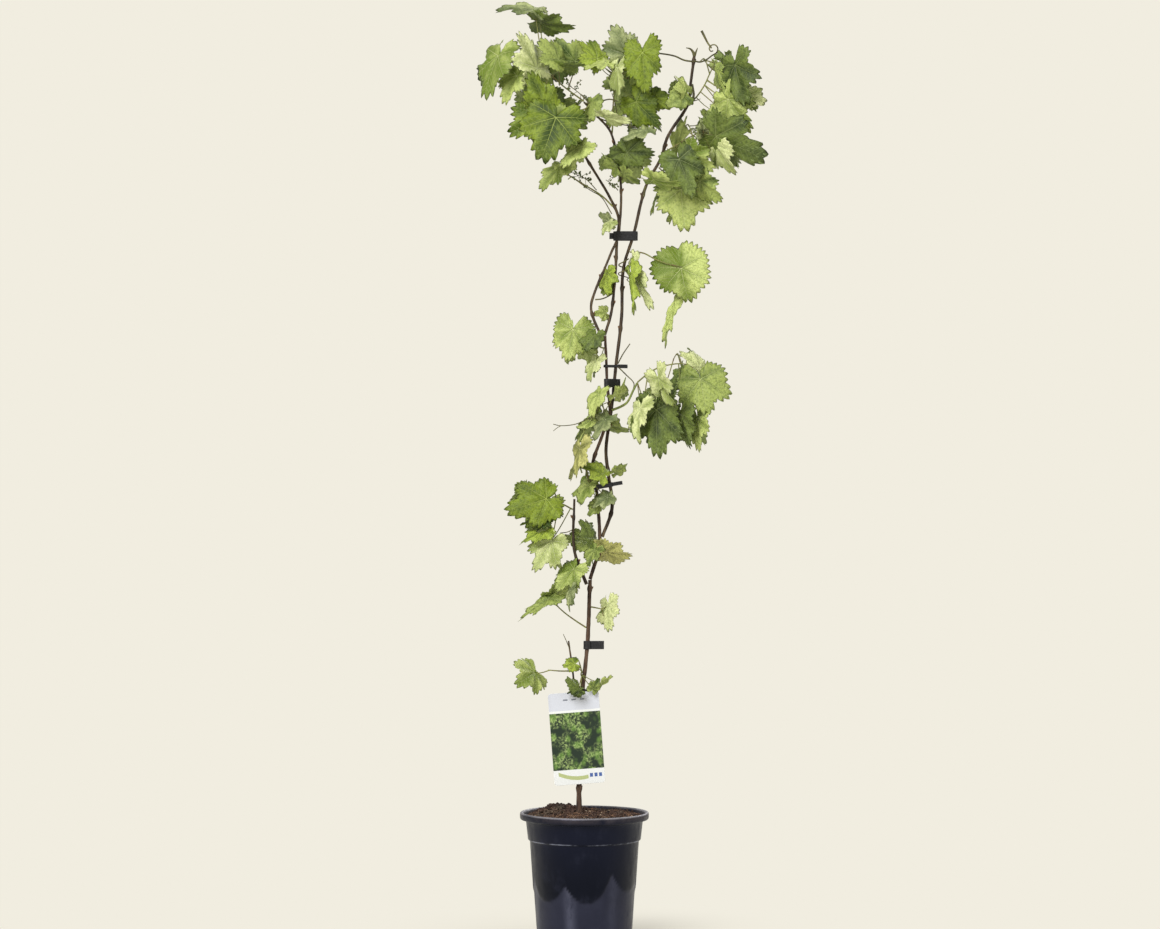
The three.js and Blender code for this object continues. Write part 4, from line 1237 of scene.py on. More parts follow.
def bladePoints(model, leaf):
    # in leaf space, mm: x to the side, z to the tip, the upper face towards -y
    length, vary = leaf["length"], leaf["vary"]
    turn, share = model["turn"], 1 - np.abs(model["lift"])
    degrees = np.degrees(turn)
    side = 180 - np.abs(degrees)
    reach = leafOutline(leaf, degrees)
    step = model["tooth"]
    uneven = 0.75 + 0.5 * np.abs(np.sin((step // 4) * 12.99 + 40 * vary[1] + np.sign(turn) * 3))
    tooth = np.choose(step % 4, leafRule["tooth"]) * uneven * leafRule["teeth"] * smoothStep(4, 26, side)
    reach = reach * (1 + tooth * smoothStep(0.8, 1, share))
    out = share * reach
    # the blade swells between its veins, and each lobe bends its own way
    veins = (*leafRule["veins"], 180)
    sector = np.interp(np.abs(degrees), veins, range(len(veins)))
    bend = np.interp(degrees, (-180, -106, -52, 0, 52, 106, 180), leaf["bend"][[0, 0, 1, 2, 3, 4, 4]])
    cushion = np.sin(math.pi * sector) ** 2 * share * (1.25 - share) * smoothStep(0, 25, side)
    waves = np.sin((6 + int(3 * vary[2])) * turn + 6.3 * vary[3]) * share ** 3
    across = out * np.sin(turn)
    if leaf["full"] < 1:
        across *= leafRule["breadth"] / np.ptp(across)
    x = length * leaf["wide"] * across
    z = length * out * np.cos(turn)
    fold = np.abs(np.sin(turn)) * out * leaf["fold"]
    crinkle = np.sin(x / length * 23 + 9 * vary[4]) * np.sin(z / length * 27 + 7 * vary[0])
    crinkle = crinkle + 0.6 * np.sin((x + z) / length * 47 + 5 * vary[1])
    y = leafRule["cup"] * out ** 2 + leafRule["twist"] * np.sin(2 * turn + length) * out
    y = y - leafRule["cushion"] * cushion - fold * (1 - share * 0.6)
    crinkle = leafRule["crinkle"] * crinkle * share * (1.2 - share)
    y = y + leafRule["waves"] * waves * (0.6 + vary[3]) + crinkle
    y = length * (y + leafRule["lobeBend"] * bend * out ** 2 * smoothStep(0, 20, side))
    half = 0.5 * leafRule["thickness"] * np.sqrt(np.clip(1 - share, 0, 1)) * smoothStep(0, 14, side)
    y = y - np.sign(model["lift"]) * half * (np.abs(model["lift"]) > 1e-4)
    # painted light and shade, added to the leaf's own random tone: a gradient from lighter to darker across
    # the blade, a lighter margin that paints light shining through it, lighter swellings between the veins
    # with painted shade along the veins, and painted shade where a lobe bends back
    shade = leaf["shade"] + leaf["spread"] * (out * np.cos(turn + 6.3 * vary[2])) + 0.5 * (share ** 3 - 0.35)
    shade = shade + 1.6 * cushion - 0.5 * bend * share
    flat = 0.5 + leafRule["flat"] * out[:, None] * np.column_stack([np.sin(turn), np.cos(turn)])
    return np.column_stack([x, y, z]), flat, shade


def leafTurn(leaf):
    return (turnAbout("Z", leaf["turn"]) @ turnAbout("Y", leaf["heading"])
            @ turnAbout("X", leaf["pitch"]) @ turnAbout("Z", leaf["roll"]))


def leafToSpace(leaf, point):
    return leafTurn(leaf) @ np.array(point, float) + leaf["at"]


def seenLeaf(row):
    # a leaf from how long and wide it looks in front: a narrow one has rolled on edge, a short one tips over
    rootX, rootZ, tipX, tipZ, width, depth, share, tone = row[:8]
    form = row[8] if len(row) > 8 else "usual"
    run = math.hypot(tipX - rootX, tipZ - rootZ)
    ratio = width / run
    leaf = {"at": np.array([rootX, depth, rootZ], float), "turn": 0, "pitch": leafRule["pitch"],
            "heading": math.degrees(math.atan2(tipX - rootX, tipZ - rootZ)), "roll": leafRule["roll"],
            "length": run / math.cos(math.radians(leafRule["pitch"])), "wide": 1,
            "full": {"round": 1, "full": 0.6}.get(form, 0), "tone": tone, "share": share}
    if form == "round":
        leaf["wide"] = ratio / leafRule["roundBreadth"]
    elif ratio < 1:
        shown = max(leafRule["edgeOn"], ratio / leafRule["breadth"])
        turned = max(leafRule["mostRoll"], shown)
        leaf["roll"] = math.degrees(math.acos(turned))
        leaf["wide"] = shown / turned
    elif ratio > leafRule["broadest"] and form != "broad":
        leaf["pitch"] = math.degrees(math.acos(max(leafRule["tippedOver"], leafRule["breadth"] / ratio)))
        leaf["length"] = width / leafRule["breadth"]
    else:
        leaf["wide"] = ratio / leafRule["breadth"]
    return leaf


def stalkOf(start, leaf):
    # the stalk comes from behind to the notch of the blade, in a slack bow
    length = leaf["length"]
    behind = leafToSpace(leaf, (0.02 * length, 3.2, -0.04 * length))
    into = leafToSpace(leaf, (0, 0.35, 0.03 * length))
    middle = (start + behind) / 2
    middle[2] -= 0.06 * np.linalg.norm(behind - start)
    centres = spaced([start, middle, behind, into], 5)
    return centres, np.linspace(0.85, 0.6, len(centres)) * min(1, 0.6 + length / 90)


def twigBehind(stem, behind, leaves, tubes):
    # a twig runs back from the stem, and its leaves stand round it facing away
    draw = chance(behind["seed"])
    rule = behindRule

    def some(key):
        least, more = rule[key]
        return least + more * next(draw)

    start = partWay(stem, rule["start"])
    end = start.copy()
    end[0] += rule["sway"] * (next(draw) - 0.5)
    end[1] += behind["reach"]
    end[2] += rule["rise"] * next(draw)
    middle = (start + end) / 2
    middle[2] += rule["arch"] * behind["reach"]
    coarse = spaced([start, middle, end], 25)
    centres = spaced([start, middle, end], 4)
    tubes.append((centres, np.linspace(1, 0.7, len(centres))))
    for k in range(behind["count"]):
        share = rule["firstLeaf"] + rule["leafSpan"] * (k + 1) / behind["count"]
        around = rule["turnStep"] * k + 6.28 * next(draw)
        out = some("out")
        node = partWay(coarse, min(rule["lastLeaf"], share))
        side = 1 if math.cos(around) > 0 else -1
        at = node + (out * math.cos(around), rule["depth"] * next(draw),
                     rule["flat"] * out * math.sin(around))
        leaf = {"at": at, "turn": side * some("turn"), "heading": some("heading"), "pitch": some("pitch"),
                "roll": rule["roll"] * (next(draw) - 0.5), "length": some("length"), "wide": 1,
                "full": rule["full"], "from": node}
        if k not in behind.get("skip", ()):
            leaves.append(leaf)
    return centres


def picturePlace(points):
    # the cells of the picture's plane that points in mm fall in
    x, y, z = np.asarray(points).T
    eyeX, eyeY, eyeZ = eye["at"]
    spread = eyeY / (eyeY - y)
    across = (eyeX + (x - eyeX) * spread - hiding["left"]) / hiding["cell"]
    up = (eyeZ + (z - eyeZ) * spread) / hiding["cell"]
    return across.astype(int), up.astype(int)


def hiddenShare(points, middle):
    # how much of a blade lies behind the leaves that show; its points stand closest near its middle
    across, up = picturePlace(points)
    front = nearest[np.clip(across, 0, nearest.shape[0] - 1), np.clip(up, 0, nearest.shape[1] - 1)]
    return np.average(front < points[:, 1], weights=np.linalg.norm(points - middle, axis=1))


def coverWith(points):
    across, up = picturePlace(points)
    for stepX in (-1, 0, 1):
        for stepZ in (-1, 0, 1):
            np.minimum.at(nearest, (across + stepX, up + stepZ), points[:, 1])


def shapedPoints(leaf):
    model = blades["large"] if leaf["length"] >= leafRule["largeFrom"] else blades["small"]
    points, flat, shade = bladePoints(model, leaf)
    return model, points @ leafTurn(leaf).T + leaf["at"], flat, shade


def varied(leaf, draw):
    leaf["vary"] = draw.random(5)
    leaf["bend"] = draw.uniform(-1, 1, 5)
    # shade is the leaf's random tone; spread is how strongly painted light and shade run across the blade
    leaf["shade"] = draw.uniform(-0.5, 0.5)
    leaf["spread"] = draw.uniform(0.2, 0.9)
    leaf["fold"] = draw.uniform(0.02, 0.15)
    return leaf


def keptBehind(leaf, draw):
    # a leaf behind is moved a little until the leaves that show hide it, or else left out: sky stays open
    first = leaf["at"].copy()
    for k in range(hiding["tries"]):
        leaf["at"] = first + draw.uniform(-1, 1, 3) * hiding["move"] * (k / hiding["tries"])
        if (k + 1) % hiding["shrinkEvery"] == 0:
            leaf["length"] *= hiding["shrink"]
        points = shapedPoints(leaf)[1]
        if hiddenShare(points, leaf["at"]) >= hiding["least"]:
            return True
    return False


def growFiner(low, high, line, seen, leaves, draw):
    # finer twigs: smaller leaves behind and beside those that show, within the mass's own reach
    rule = finerTwigs
    for leaf in seen:
        # a leaf seen on edge hides nothing
        narrow = leaf["length"] < rule["longer"] or leaf["wide"] < rule["wider"]
        if narrow or draw.random() > rule["share"]:
            continue
        aim = leafToSpace(leaf, (0, 0, rule["aim"] * leaf["length"]))
        size = leaf["length"] * draw.uniform(*rule["size"])
        at = aim + (draw.uniform(*rule["aside"]) * leaf["length"],
                    rule["deepFrom"] + rule["deepMore"] * draw.random(),
                    draw.uniform(*rule["above"]) * leaf["length"])
        at = np.clip(at, low + rule["inside"], high - rule["inside"])
        side = 1 if draw.random() > 0.5 else -1
        finer = {"at": at, "turn": side * draw.uniform(*rule["turn"]),
                 "heading": draw.uniform(*rule["heading"]), "pitch": draw.uniform(*rule["pitch"]),
                 "roll": draw.uniform(*rule["roll"]), "length": max(rule["least"], size), "wide": 1,
                 "full": behindRule["full"]}
        finer["from"] = line[np.argmin(np.linalg.norm(line - at, axis=1))]
        leaves.append(finer)


def growMass(name, mass, number, seen):
    tubes, behind = [], []
    draw = np.random.default_rng(100 + number)
    low, high = [np.array(corner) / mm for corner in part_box(name)]
    coarse = spaced(mass["stem"], 22)
    line = spaced(mass["stem"], 3)
    tubes.append((line, np.linspace(1.15, 0.8, len(line))))
    if "behind" in mass:
        line = np.vstack([line, twigBehind(coarse, mass["behind"], behind, tubes)])
    growFiner(low, high, line, seen, behind, draw)
    leaves = list(seen)
    for leaf in behind:
        leaf["tone"] = seen[int(draw.integers(len(seen)))]["tone"]
        if leaf["tone"] in ("pale", "grey"):
            leaf["tone"] = "mid"
        varied(leaf, draw)
        if keptBehind(leaf, draw):
            points = shapedPoints(leaf)[1]
            if np.all(points > low - hiding["beyond"]) and np.all(points < high + hiding["beyond"]):
                leaves.append(leaf)
    copies = []
    for leaf in leaves:
        model, points, flat, shade = shapedPoints(leaf)
        slot = toneNames.index(leaf["tone"]) * 2 + model["under"].astype(int)
        copies.append({"model": model, "points": points, "flat": flat, "slots": slot, "shade": shade})
        tubes.append(stalkOf(leaf["from"], leaf))
    return joinCopies(name.replace("foliage", "vine_leaves"), copies, leafFinishes), tubes, len(leaves)


seenLeaves = {}
for number, (name, mass) in enumerate(masses.items()):
    draw = np.random.default_rng(500 + number)
    coarse = spaced(mass["stem"], 22)
    seenLeaves[name] = [varied(seenLeaf(row), draw) for row in mass["leaves"]]
    for leaf in seenLeaves[name]:
        leaf["from"] = partWay(coarse, min(0.92, max(0.2, leaf["share"])))
        coverWith(shapedPoints(leaf)[1])


# Leaf finishes: a tone for each leaf, partly the leaf's own colour and partly painted light, as the lime and
# pale tones paint light shining through a leaf and lighten leaves that stand in shade. Paler and duller
# underneath, with veins drawn in the blade's own plane

tones = {
    # darker and lighter part of the upper face, between which each blade's painted light and shade is
    # blended, then the veins
    "bright": ((74, 96, 12), (160, 178, 66), (198, 208, 126)),
    "deep": ((34, 50, 14), (110, 126, 56), (150, 162, 100)),
    "mid": ((60, 82, 22), (156, 170, 88), (190, 200, 130)),
    "grey": ((90, 104, 58), (172, 180, 124), (200, 206, 162)),
    "lime": ((102, 122, 36), (186, 198, 114), (214, 220, 154)),
    "pale": ((146, 160, 84), (216, 222, 160), (230, 234, 186)),
    "olive": ((100, 104, 44), (190, 188, 112), (208, 204, 146)),
    "vivid": ((46, 66, 6), (124, 142, 38), (178, 192, 96)),
}
toneNames = list(tones)
leafLook = {"roughness": 0.48, "specular": 0.32, "veinRise": -0.6}
underLook = {"roughness": 0.7, "specular": 0.2, "veinRise": 0.6, "mix": 0.42, "toward": (158, 172, 122)}
# scale brings the blade's flat places back to shares of its length; edges are in degrees, and part the
# branches of one main vein from those of the next
veinLook = {"scale": 2.78, "width": 0.013, "end": 1.15, "edges": (-1, 28, 78, 181), "every": 8.5,
            "slant": 0.8, "branch": 0.55, "show": 0.5}


def veinMask(tree):
    # 1 on the main veins, about a half on their branches: lines in the blade's own plane
    source = tree.nodes.new("ShaderNodeUVMap")
    source.uv_map = "blade"
    flat = parts(tree, source.outputs["UV"])
    side = calc(tree, "ABSOLUTE", times(tree, less(tree, flat["X"], 0.5), veinLook["scale"]))
    front = times(tree, less(tree, flat["Y"], 0.5), veinLook["scale"])
    turn = calc(tree, "ARCTAN2", side, front)
    lines, branches = [], []
    for angle, low, high in zip(leafRule["veins"], veinLook["edges"], veinLook["edges"][1:]):
        c, s = math.cos(math.radians(angle)), math.sin(math.radians(angle))
        along = plus(tree, times(tree, front, c), times(tree, side, s))
        off = calc(tree, "ABSOLUTE", less(tree, times(tree, side, c), times(tree, front, s)))
        width = times(tree, less(tree, veinLook["end"], along), veinLook["width"])
        line = less(tree, 1.0, ramp(tree, calc(tree, "DIVIDE", off, width), 0.45, 1.1))
        lines.append(times(tree, line, calc(tree, "GREATER_THAN", along, 0.0)))
        phase = times(tree, less(tree, along, times(tree, off, veinLook["slant"])), veinLook["every"])
        near = calc(tree, "ABSOLUTE", less(tree, calc(tree, "FRACT", phase), 0.5))
        branch = less(tree, 1.0, ramp(tree, near, 0.03, 0.10))
        branch = times(tree, branch, within(tree, turn, math.radians(low), math.radians(high)))
        branches.append(times(tree, branch, ramp(tree, along, 0.06, 0.16)))
    return most(tree, lines + [times(tree, most(tree, branches), veinLook["branch"])])


def leafFinish(tone, under):
    colours, look = tones[tone], leafLook
    if under:
        look = underLook
        colours = [tuple(a + (b - a) * look["mix"] for a, b in zip(colour, look["toward"]))
                   for colour in colours]
    dark, light, vein = colours
    name = f"{tone}Leaf{'Under' if under else ''}"
    finish, tree, shader = newFinish(name, look["roughness"], look["specular"])
    vector = place(tree)
    cloud = grain(tree, vector, 45, 4, 0.6)
    cells = grain(tree, vector, 330, 4, 0.6)
    veins = veinMask(tree)
    # the shade mark carries the leaf's random tone and its painted light and shade; cloud adds random patches
    # of tone
    amount = plus(tree, times(tree, mark(tree, "shade"), 0.6), times(tree, cloud, 1.5))
    body = blendColours(tree, ramp(tree, amount, 0.3, 1.2), dark, light)
    # painted shade: the blade is painted darker where its fine relief dips
    body = blendColours(tree, times(tree, ramp(tree, cells, 0.46, 0.66), 0.55), body, dark)
    colour = blendColours(tree, times(tree, veins, veinLook["show"]), body, vein)
    tree.links.new(colour, shader.inputs["Base Color"])
    rise = plus(tree, times(tree, veins, look["veinRise"]), times(tree, cells, -0.9))
    relief(tree, shader, rise, 0.0014, 0.9)
    return finish


leafFinishes = []
for tone in toneNames:
    leafFinishes += [leafFinish(tone, False), leafFinish(tone, True)]

stalkFinish = barkFinish("leafStalk", (100, 106, 54), (144, 146, 80), (108, 82, 54), 500, 0.5)
twigFinish = barkFinish("duskyTwig", (68, 66, 40), (112, 108, 66), (56, 46, 34), 500, 0.6)

allStalks = []
leafCount = triangles = 0
for number, (name, mass) in enumerate(masses.items()):
    piece, tubes, leaves = growMass(name, mass, number, seenLeaves[name])
    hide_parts(name)
    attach(piece, "root")
    allStalks += tubes
    leafCount += leaves
    triangles += len(piece.data.loops) - 2 * len(piece.data.polygons)
stalks = drawTubes("stems_and_stalks", allStalks, 1)
stalks.data.materials.append(stalkFinish)
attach(stalks, "root")
print("leaves made:", leafCount, "with", triangles, "triangles")


# Tendrils, loose stalks and cut twig ends, bud clusters, and the buds at the nodes

smallGrowth = {"budLength": 1.8, "budWidth": 1.3, "bead": (0.7, 1.25), "beadsOnStalk": (4, 8), "stalk": 0.34}


def makeStrands():
    tubes = []
    for strand in strands.values():
        centres = spaced(strand["route"], 2)
        tubes.append((centres, np.linspace(*strand["radii"], len(centres))))
    return drawTubes("tendrils_and_twigs", tubes, 2)


def makeClusters():
    startPiece()
    bpy.ops.mesh.primitive_ico_sphere_add(subdivisions=2, radius=1)
    bead = readModel(namedPiece("beadModel"))
    copies, tubes = [], []
    for cluster in clusters.values():
        draw = np.random.default_rng(cluster["seed"])
        foot, tip = np.array(cluster["foot"], float), np.array(cluster["tip"], float)
        reach = np.linalg.norm(tip - foot)
        middle = (foot + tip) / 2 + draw.uniform(-0.1, 0.1, 3) * reach
        rachis = spaced([foot, middle, tip], 3)
        tubes.append((rachis, np.linspace(0.7, 0.4, len(rachis))))
        for k in range(cluster["stalks"]):
            start = partWay(rachis, 0.35 + 0.65 * k / cluster["stalks"])
            out = draw.normal(0, 1, 3)
            out = out / np.linalg.norm(out) * reach * draw.uniform(0.25, 0.45)
            branch = spaced([start, start + 0.55 * out + (0, 0, 1), start + out], 3)
            tubes.append((branch, np.full(len(branch), smallGrowth["stalk"])))
            for _ in range(int(draw.integers(*smallGrowth["beadsOnStalk"]))):
                spot = partWay(branch, draw.uniform(0.55, 1)) + draw.normal(0, 1.5, 3)
                size = draw.uniform(*smallGrowth["bead"])
                points = bead["points"] * (size, size, size * 1.2) + spot
                copies.append(plainCopy(bead, points, draw.random()))
    return joinCopies("bud_clusters", copies, [beadFinish]), drawTubes("cluster_stalks", tubes, 1)


def makeBuds():
    # a pointed bud on the side of each node, copied from one model
    longer = smallGrowth["budLength"]
    startPiece()
    bpy.ops.mesh.primitive_uv_sphere_add(segments=12, ring_count=8, radius=1)
    startEditing()
    bpy.ops.transform.resize(value=(1, 0.8, longer), center_override=(0, 0, 0))
    bpy.ops.object.mode_set(mode="OBJECT")
    bud = readModel(namedPiece("budModel"))
    points = bud["points"]
    points[:, :2] *= (1 - 0.35 * np.clip(points[:, 2:3] / longer, 0, 1))
    copies = []
    draw = np.random.default_rng(5)
    for name, k, spot in buds:
        around = math.radians(180 * (k % 2) + draw.uniform(-50, 50))
        size = draw.uniform(0.9, 1.25) * (0.7 if limbs[name]["kind"] == "shoot" else 1)
        out = np.array([math.cos(around), math.sin(around), 0])
        turn = turnAbout("Z", math.degrees(around)) @ turnAbout("Y", 32)
        at = spot + out * (limbs[name]["radii"][0] * 1.15) + (0, 0, 1.2)
        budPoints = (points * size * smallGrowth["budWidth"]) @ turn.T + at
        copies.append(plainCopy(bud, budPoints, draw.random()))
    return joinCopies("node_buds", copies, [budFinish])


beadFinish = earthFinish("greenBead", (62, 76, 36), (108, 120, 60), 0.6, 900)
budFinish = earthFinish("budScale", (92, 62, 44), (134, 104, 70), 0.7, 900)
strandPiece = makeStrands()
strandPiece.data.materials.append(twigFinish)
beads, beadStalks = makeClusters()
beadStalks.data.materials.append(twigFinish)
nodeBuds = makeBuds()
for piece in (strandPiece, beads, beadStalks, nodeBuds):
    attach(piece, "root")
print("small growth made")


# The ties: flat bands drawn round the stems, a little creased, each with a loose end

bands = {
    "tie_upper": {
        "at": (54, -2, 927), "turn": 0, "lean": 0,
        "span": 19.8, "bore": 5, "height": 12, "tail": 5, "tailHeight": 8, "side": -1,
    },
    "tie_second": {
        "at": (35.2, 1.2, 755.6), "turn": 22.8, "lean": 0,
        "span": 13.7, "bore": 2.5, "height": 3.5, "tail": 13, "tailHeight": 5, "side": 1,
    },
    "tie_third": {
        "at": (34.6, 1.7, 733.4), "turn": 37.6, "lean": 0,
        "span": 11.6, "bore": 3, "height": 11, "tail": 6, "tailHeight": 11, "side": 1,
    },
    "tie_fourth": {
        "at": (24.3, 2.1, 597.7), "turn": 18.8, "lean": 9,
        "span": 20.2, "bore": 2.75, "height": 6, "tail": 14, "tailHeight": 5, "side": 1,
    },
    "tie_lower": {
        "at": (3.7, 0.5, 388), "turn": 0, "lean": 0,
        "span": 0.6, "bore": 3.45, "height": 11, "tail": 17, "tailHeight": 11, "side": 1,
    },
}
bandLook = {"wall": 1.3, "tailWall": 1.6, "sides": 48, "crease": 0.35,
            "black": (18, 18, 20), "patchy": (52, 52, 54)}


def makeBand(name, band):
    wall, crease = bandLook["wall"], bandLook["crease"]
    startPiece()
    bpy.ops.mesh.primitive_circle_add(vertices=bandLook["sides"], radius=(band["bore"] + 0.1) * mm,
                                      location=(0, 0, -band["height"] / 2 * mm))
    piece = namedPiece(name.replace("tie", "soft_tie"))
    bpy.ops.object.mode_set(mode="EDIT")
    shape = bmesh.from_edit_mesh(piece.data)
    for side in (-1, 1):
        bpy.ops.mesh.select_all(action="DESELECT")
        for vertex in shape.verts:
            vertex.select = vertex.co.x * side > 1e-6
        shape.select_flush(True)
        bmesh.update_edit_mesh(piece.data)
        bpy.ops.transform.translate(value=(side * band["span"] / 2 * mm, 0, 0))
    bpy.ops.mesh.select_all(action="SELECT")
    steps = max(3, round(band["height"] / 1.2))
    for _ in range(steps):
        extrudeUp(band["height"] / steps)
    endEditing()
    addWall(piece, wall - 0.1)
    roundEdges(piece, 0.35, 2)
    end = band["span"] / 2 + band["bore"] + wall
    tail = addBlock((band["side"] * (end + band["tail"] / 2 - 0.4), 0, 0),
                    (band["tail"] + 0.8, bandLook["tailWall"], band["tailHeight"]))
    startEditing()
    bpy.ops.mesh.subdivide(number_cuts=5)
    bpy.ops.object.mode_set(mode="OBJECT")
    roundEdges(tail, 0.5, 2)
    points = vertexTable(tail)
    out = np.abs(points[:, 0]) / mm - end
    points[:, 1] += np.sin(out / band["tail"] * 2.4) * 0.7 * mm * smoothStep(0, 4, out)
    moveVertices(tail, points)
    makeActive(piece, tail)
    bpy.ops.object.join()
    points = vertexTable(piece)
    for k, (x, y, z) in enumerate(points / mm):
        lift = noise.noise(Vector((x / 5, y / 5, z / 2.2 + band["at"][2]))) * crease
        lift += 0.12 * math.sin(z * 5 + x)
        points[k, :2] *= 1 + lift / max(4, math.hypot(x, y)) * 0.7
    moveVertices(piece, points)
    turned = Matrix.Translation(Vector(band["at"]) * mm) @ Matrix.Rotation(math.radians(band["turn"]), 4, "Z")
    piece.data.transform(turned @ Matrix.Rotation(math.radians(-band["lean"]), 4, "Y"))
    bpy.ops.object.shade_smooth_by_angle(angle=math.radians(40))
    return piece


def bandFinish():
    finish, tree, shader = newFinish("tiePlastic", 0.5, 0.45)
    vector = place(tree)
    wear = grain(tree, place(tree, (1, 1, 2.5)), 240, 5, 0.65)
    tree.links.new(blendColours(tree, ramp(tree, wear, 0.52, 0.8), bandLook["black"], bandLook["patchy"]),
                   shader.inputs["Base Color"])
    relief(tree, shader, grain(tree, vector, 700, 4, 0.6), 0.0003)
    return finish


tiePlastic = bandFinish()
for name, band in bands.items():
    piece = makeBand(name, band)
    piece.data.materials.clear()
    piece.data.materials.append(tiePlastic)
    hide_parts(name)
    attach(piece, "root")
print("ties made")


# The label card on its ring: a thin bowed card with rounded corners, its tab, and a plain printed design

card = {
    "middle": (-10.5, -8, 266), "size": (67, 0.8, 121), "turn": -4.3, "corner": 4,
    "bow": 0.9,
    "tab": {"middle": (-3, -7.2, 325.5), "size": (14, 1.6, 9)},
    "ring": {"middle": (-2.6, -2, 328.5), "bore": 4.1, "wall": 0.8, "height": 3},
    # the plain design in mm from the card's middle; a patch is its left, right, low and high
    "print": {"panel": (-41, 34), "header": 37, "band": (-27, 12, -55, -50), "curve": 0.009,
              "square": (14, 18, -52, -47), "squareStep": 6, "dash": (-14, -8, 50, 52), "dashStep": 11},
    "paper": (226, 228, 226), "header": (202, 205, 214), "mark": (120, 124, 134), "blue": (70, 96, 156),
    "deepGreen": (20, 40, 24), "leafGreen": (84, 118, 46), "paleGreen": (178, 202, 124),
    "olive": (176, 186, 128),
}


def makeSheet():
    width, thickness, tall = card["size"]
    addBlock((0, 0, 0), card["size"])
    sheet = namedPiece("label_card_sheet")
    bpy.ops.object.mode_set(mode="EDIT")
    shape = bmesh.from_edit_mesh(sheet.data)
    bpy.ops.mesh.select_all(action="DESELECT")
    for edge in shape.edges:
        start, end = edge.verts
        edge.select = abs(start.co.y - end.co.y) > 0.5 * thickness * mm
    bmesh.update_edit_mesh(sheet.data)
    bpy.ops.mesh.bevel(offset=card["corner"] * mm, segments=8)
    cuts = [((0, 0, share * tall * mm), (0, 0, 1)) for share in np.linspace(-0.5, 0.5, 14)[1:-1]]
    cuts += [((share * width * mm, 0, 0), (1, 0, 0)) for share in np.linspace(-0.5, 0.5, 8)[1:-1]]
    for spot, facing in cuts:
        bpy.ops.mesh.select_all(action="SELECT")
        bpy.ops.mesh.bisect(plane_co=spot, plane_no=facing)
    bpy.ops.object.mode_set(mode="OBJECT")
    points = vertexTable(sheet)
    share = points[:, 2] / (tall / 2 * mm)
    points[:, 1] -= card["bow"] * mm * (share ** 2 - 0.4)
    moveVertices(sheet, points)
    roundEdges(sheet, 0.15)
    sheet.data.transform(Matrix.Translation(Vector(card["middle"]) * mm)
                         @ Matrix.Rotation(math.radians(card["turn"]), 4, "Y"))
    bpy.ops.object.shade_smooth_by_angle(angle=math.radians(35))
    return sheet


def makeHanger():
    # the tab over the card's top edge, and the ring round the trunk
    tab, ring = card["tab"], card["ring"]
    strap = addBlock(tab["middle"], tab["size"])
    roundEdges(strap, 0.7, 3)
    startPiece()
    bpy.ops.mesh.primitive_circle_add(vertices=40, radius=ring["bore"] * mm,
                                      location=[value * mm for value in ring["middle"]])
    hanger = bpy.context.object
    startEditing()
    bpy.ops.transform.translate(value=(0, 0, -ring["height"] / 2 * mm))
    extrudeUp(ring["height"])
    endEditing()
    addWall(hanger, ring["wall"])
    applyAll(hanger)
    settle(hanger)
    makeActive(hanger, strap)
    bpy.ops.object.join()
    hanger.name = "label_hanger"
    bpy.ops.object.shade_smooth_by_angle(angle=math.radians(35))
    return hanger


def cardFinish():
    finish, tree, shader = newFinish("printedCard", 0.32, 0.5)
    turn = Matrix.Rotation(math.radians(-card["turn"]), 3, "Y")
    vector = place(tree, (1000, 1000, 1000), (0, -card["turn"], 0), -(turn @ Vector(card["middle"])))
    flat = parts(tree, vector)
    across, height = flat["X"], flat["Z"]
    design = card["print"]

    def patch(spot, level, step=0):
        left, right, low, high = spot
        return times(tree, within(tree, across, left + step, right + step), within(tree, level, low, high))

    leafy = tree.nodes.new("ShaderNodeTexVoronoi")
    leafy.inputs["Scale"].default_value = 0.12
    tree.links.new(place(tree, (1000, 0, 760), (0, 34, 0)), leafy.inputs["Vector"])
    vein = grain(tree, place(tree, (1000, 0, 1000), (0, 20, 0)), 0.3, 4, 0.7)
    patches = grain(tree, place(tree, (1000, 0, 1000)), 0.05, 3, 0.5)
    deep = plus(tree, leafy.outputs["Distance"], less(tree, 0.5, patches))
    greens = blendColours(tree, ramp(tree, deep, 0.12, 0.62), card["leafGreen"], card["deepGreen"])
    shine = times(tree, ramp(tree, vein, 0.44, 0.62), ramp(tree, patches, 0.4, 0.58))
    greens = blendColours(tree, times(tree, shine, 0.7), greens, card["paleGreen"])
    colour = blendColours(tree, within(tree, height, *design["panel"]), card["paper"], greens)
    colour = blendColours(tree, calc(tree, "GREATER_THAN", height, design["header"]), colour, card["header"])
    curve = times(tree, calc(tree, "POWER", calc(tree, "ABSOLUTE", across), 2), design["curve"])
    colour = blendColours(tree, patch(design["band"], less(tree, height, curve)), colour, card["olive"])
    for k in range(3):
        square = patch(design["square"], height, design["squareStep"] * k)
        colour = blendColours(tree, square, colour, card["blue"])
        dash = patch(design["dash"], height, design["dashStep"] * k)
        colour = blendColours(tree, dash, colour, card["mark"])
    tree.links.new(colour, shader.inputs["Base Color"])
    relief(tree, shader, grain(tree, place(tree), 400, 2, 0.5), 0.00008, 0.4)
    return finish


cardSheet = makeSheet()
cardHanger = makeHanger()
cardSheet.data.materials.append(cardFinish())
cardSheet.data.materials.append(earthFinish("cardBack", (206, 208, 206), (222, 224, 222), 0.4, 300))
makeActive(cardSheet)
bpy.ops.object.mode_set(mode="EDIT")
pickFaces(cardSheet, lambda middle, normal: normal.y > 0.5)
cardSheet.active_material_index = 1
bpy.ops.object.material_slot_assign()
bpy.ops.object.mode_set(mode="OBJECT")
cardHanger.data.materials.clear()
cardHanger.data.materials.append(tiePlastic)
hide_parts("label_card")
for piece in (cardSheet, cardHanger):
    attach(piece, "root")
print("card made")


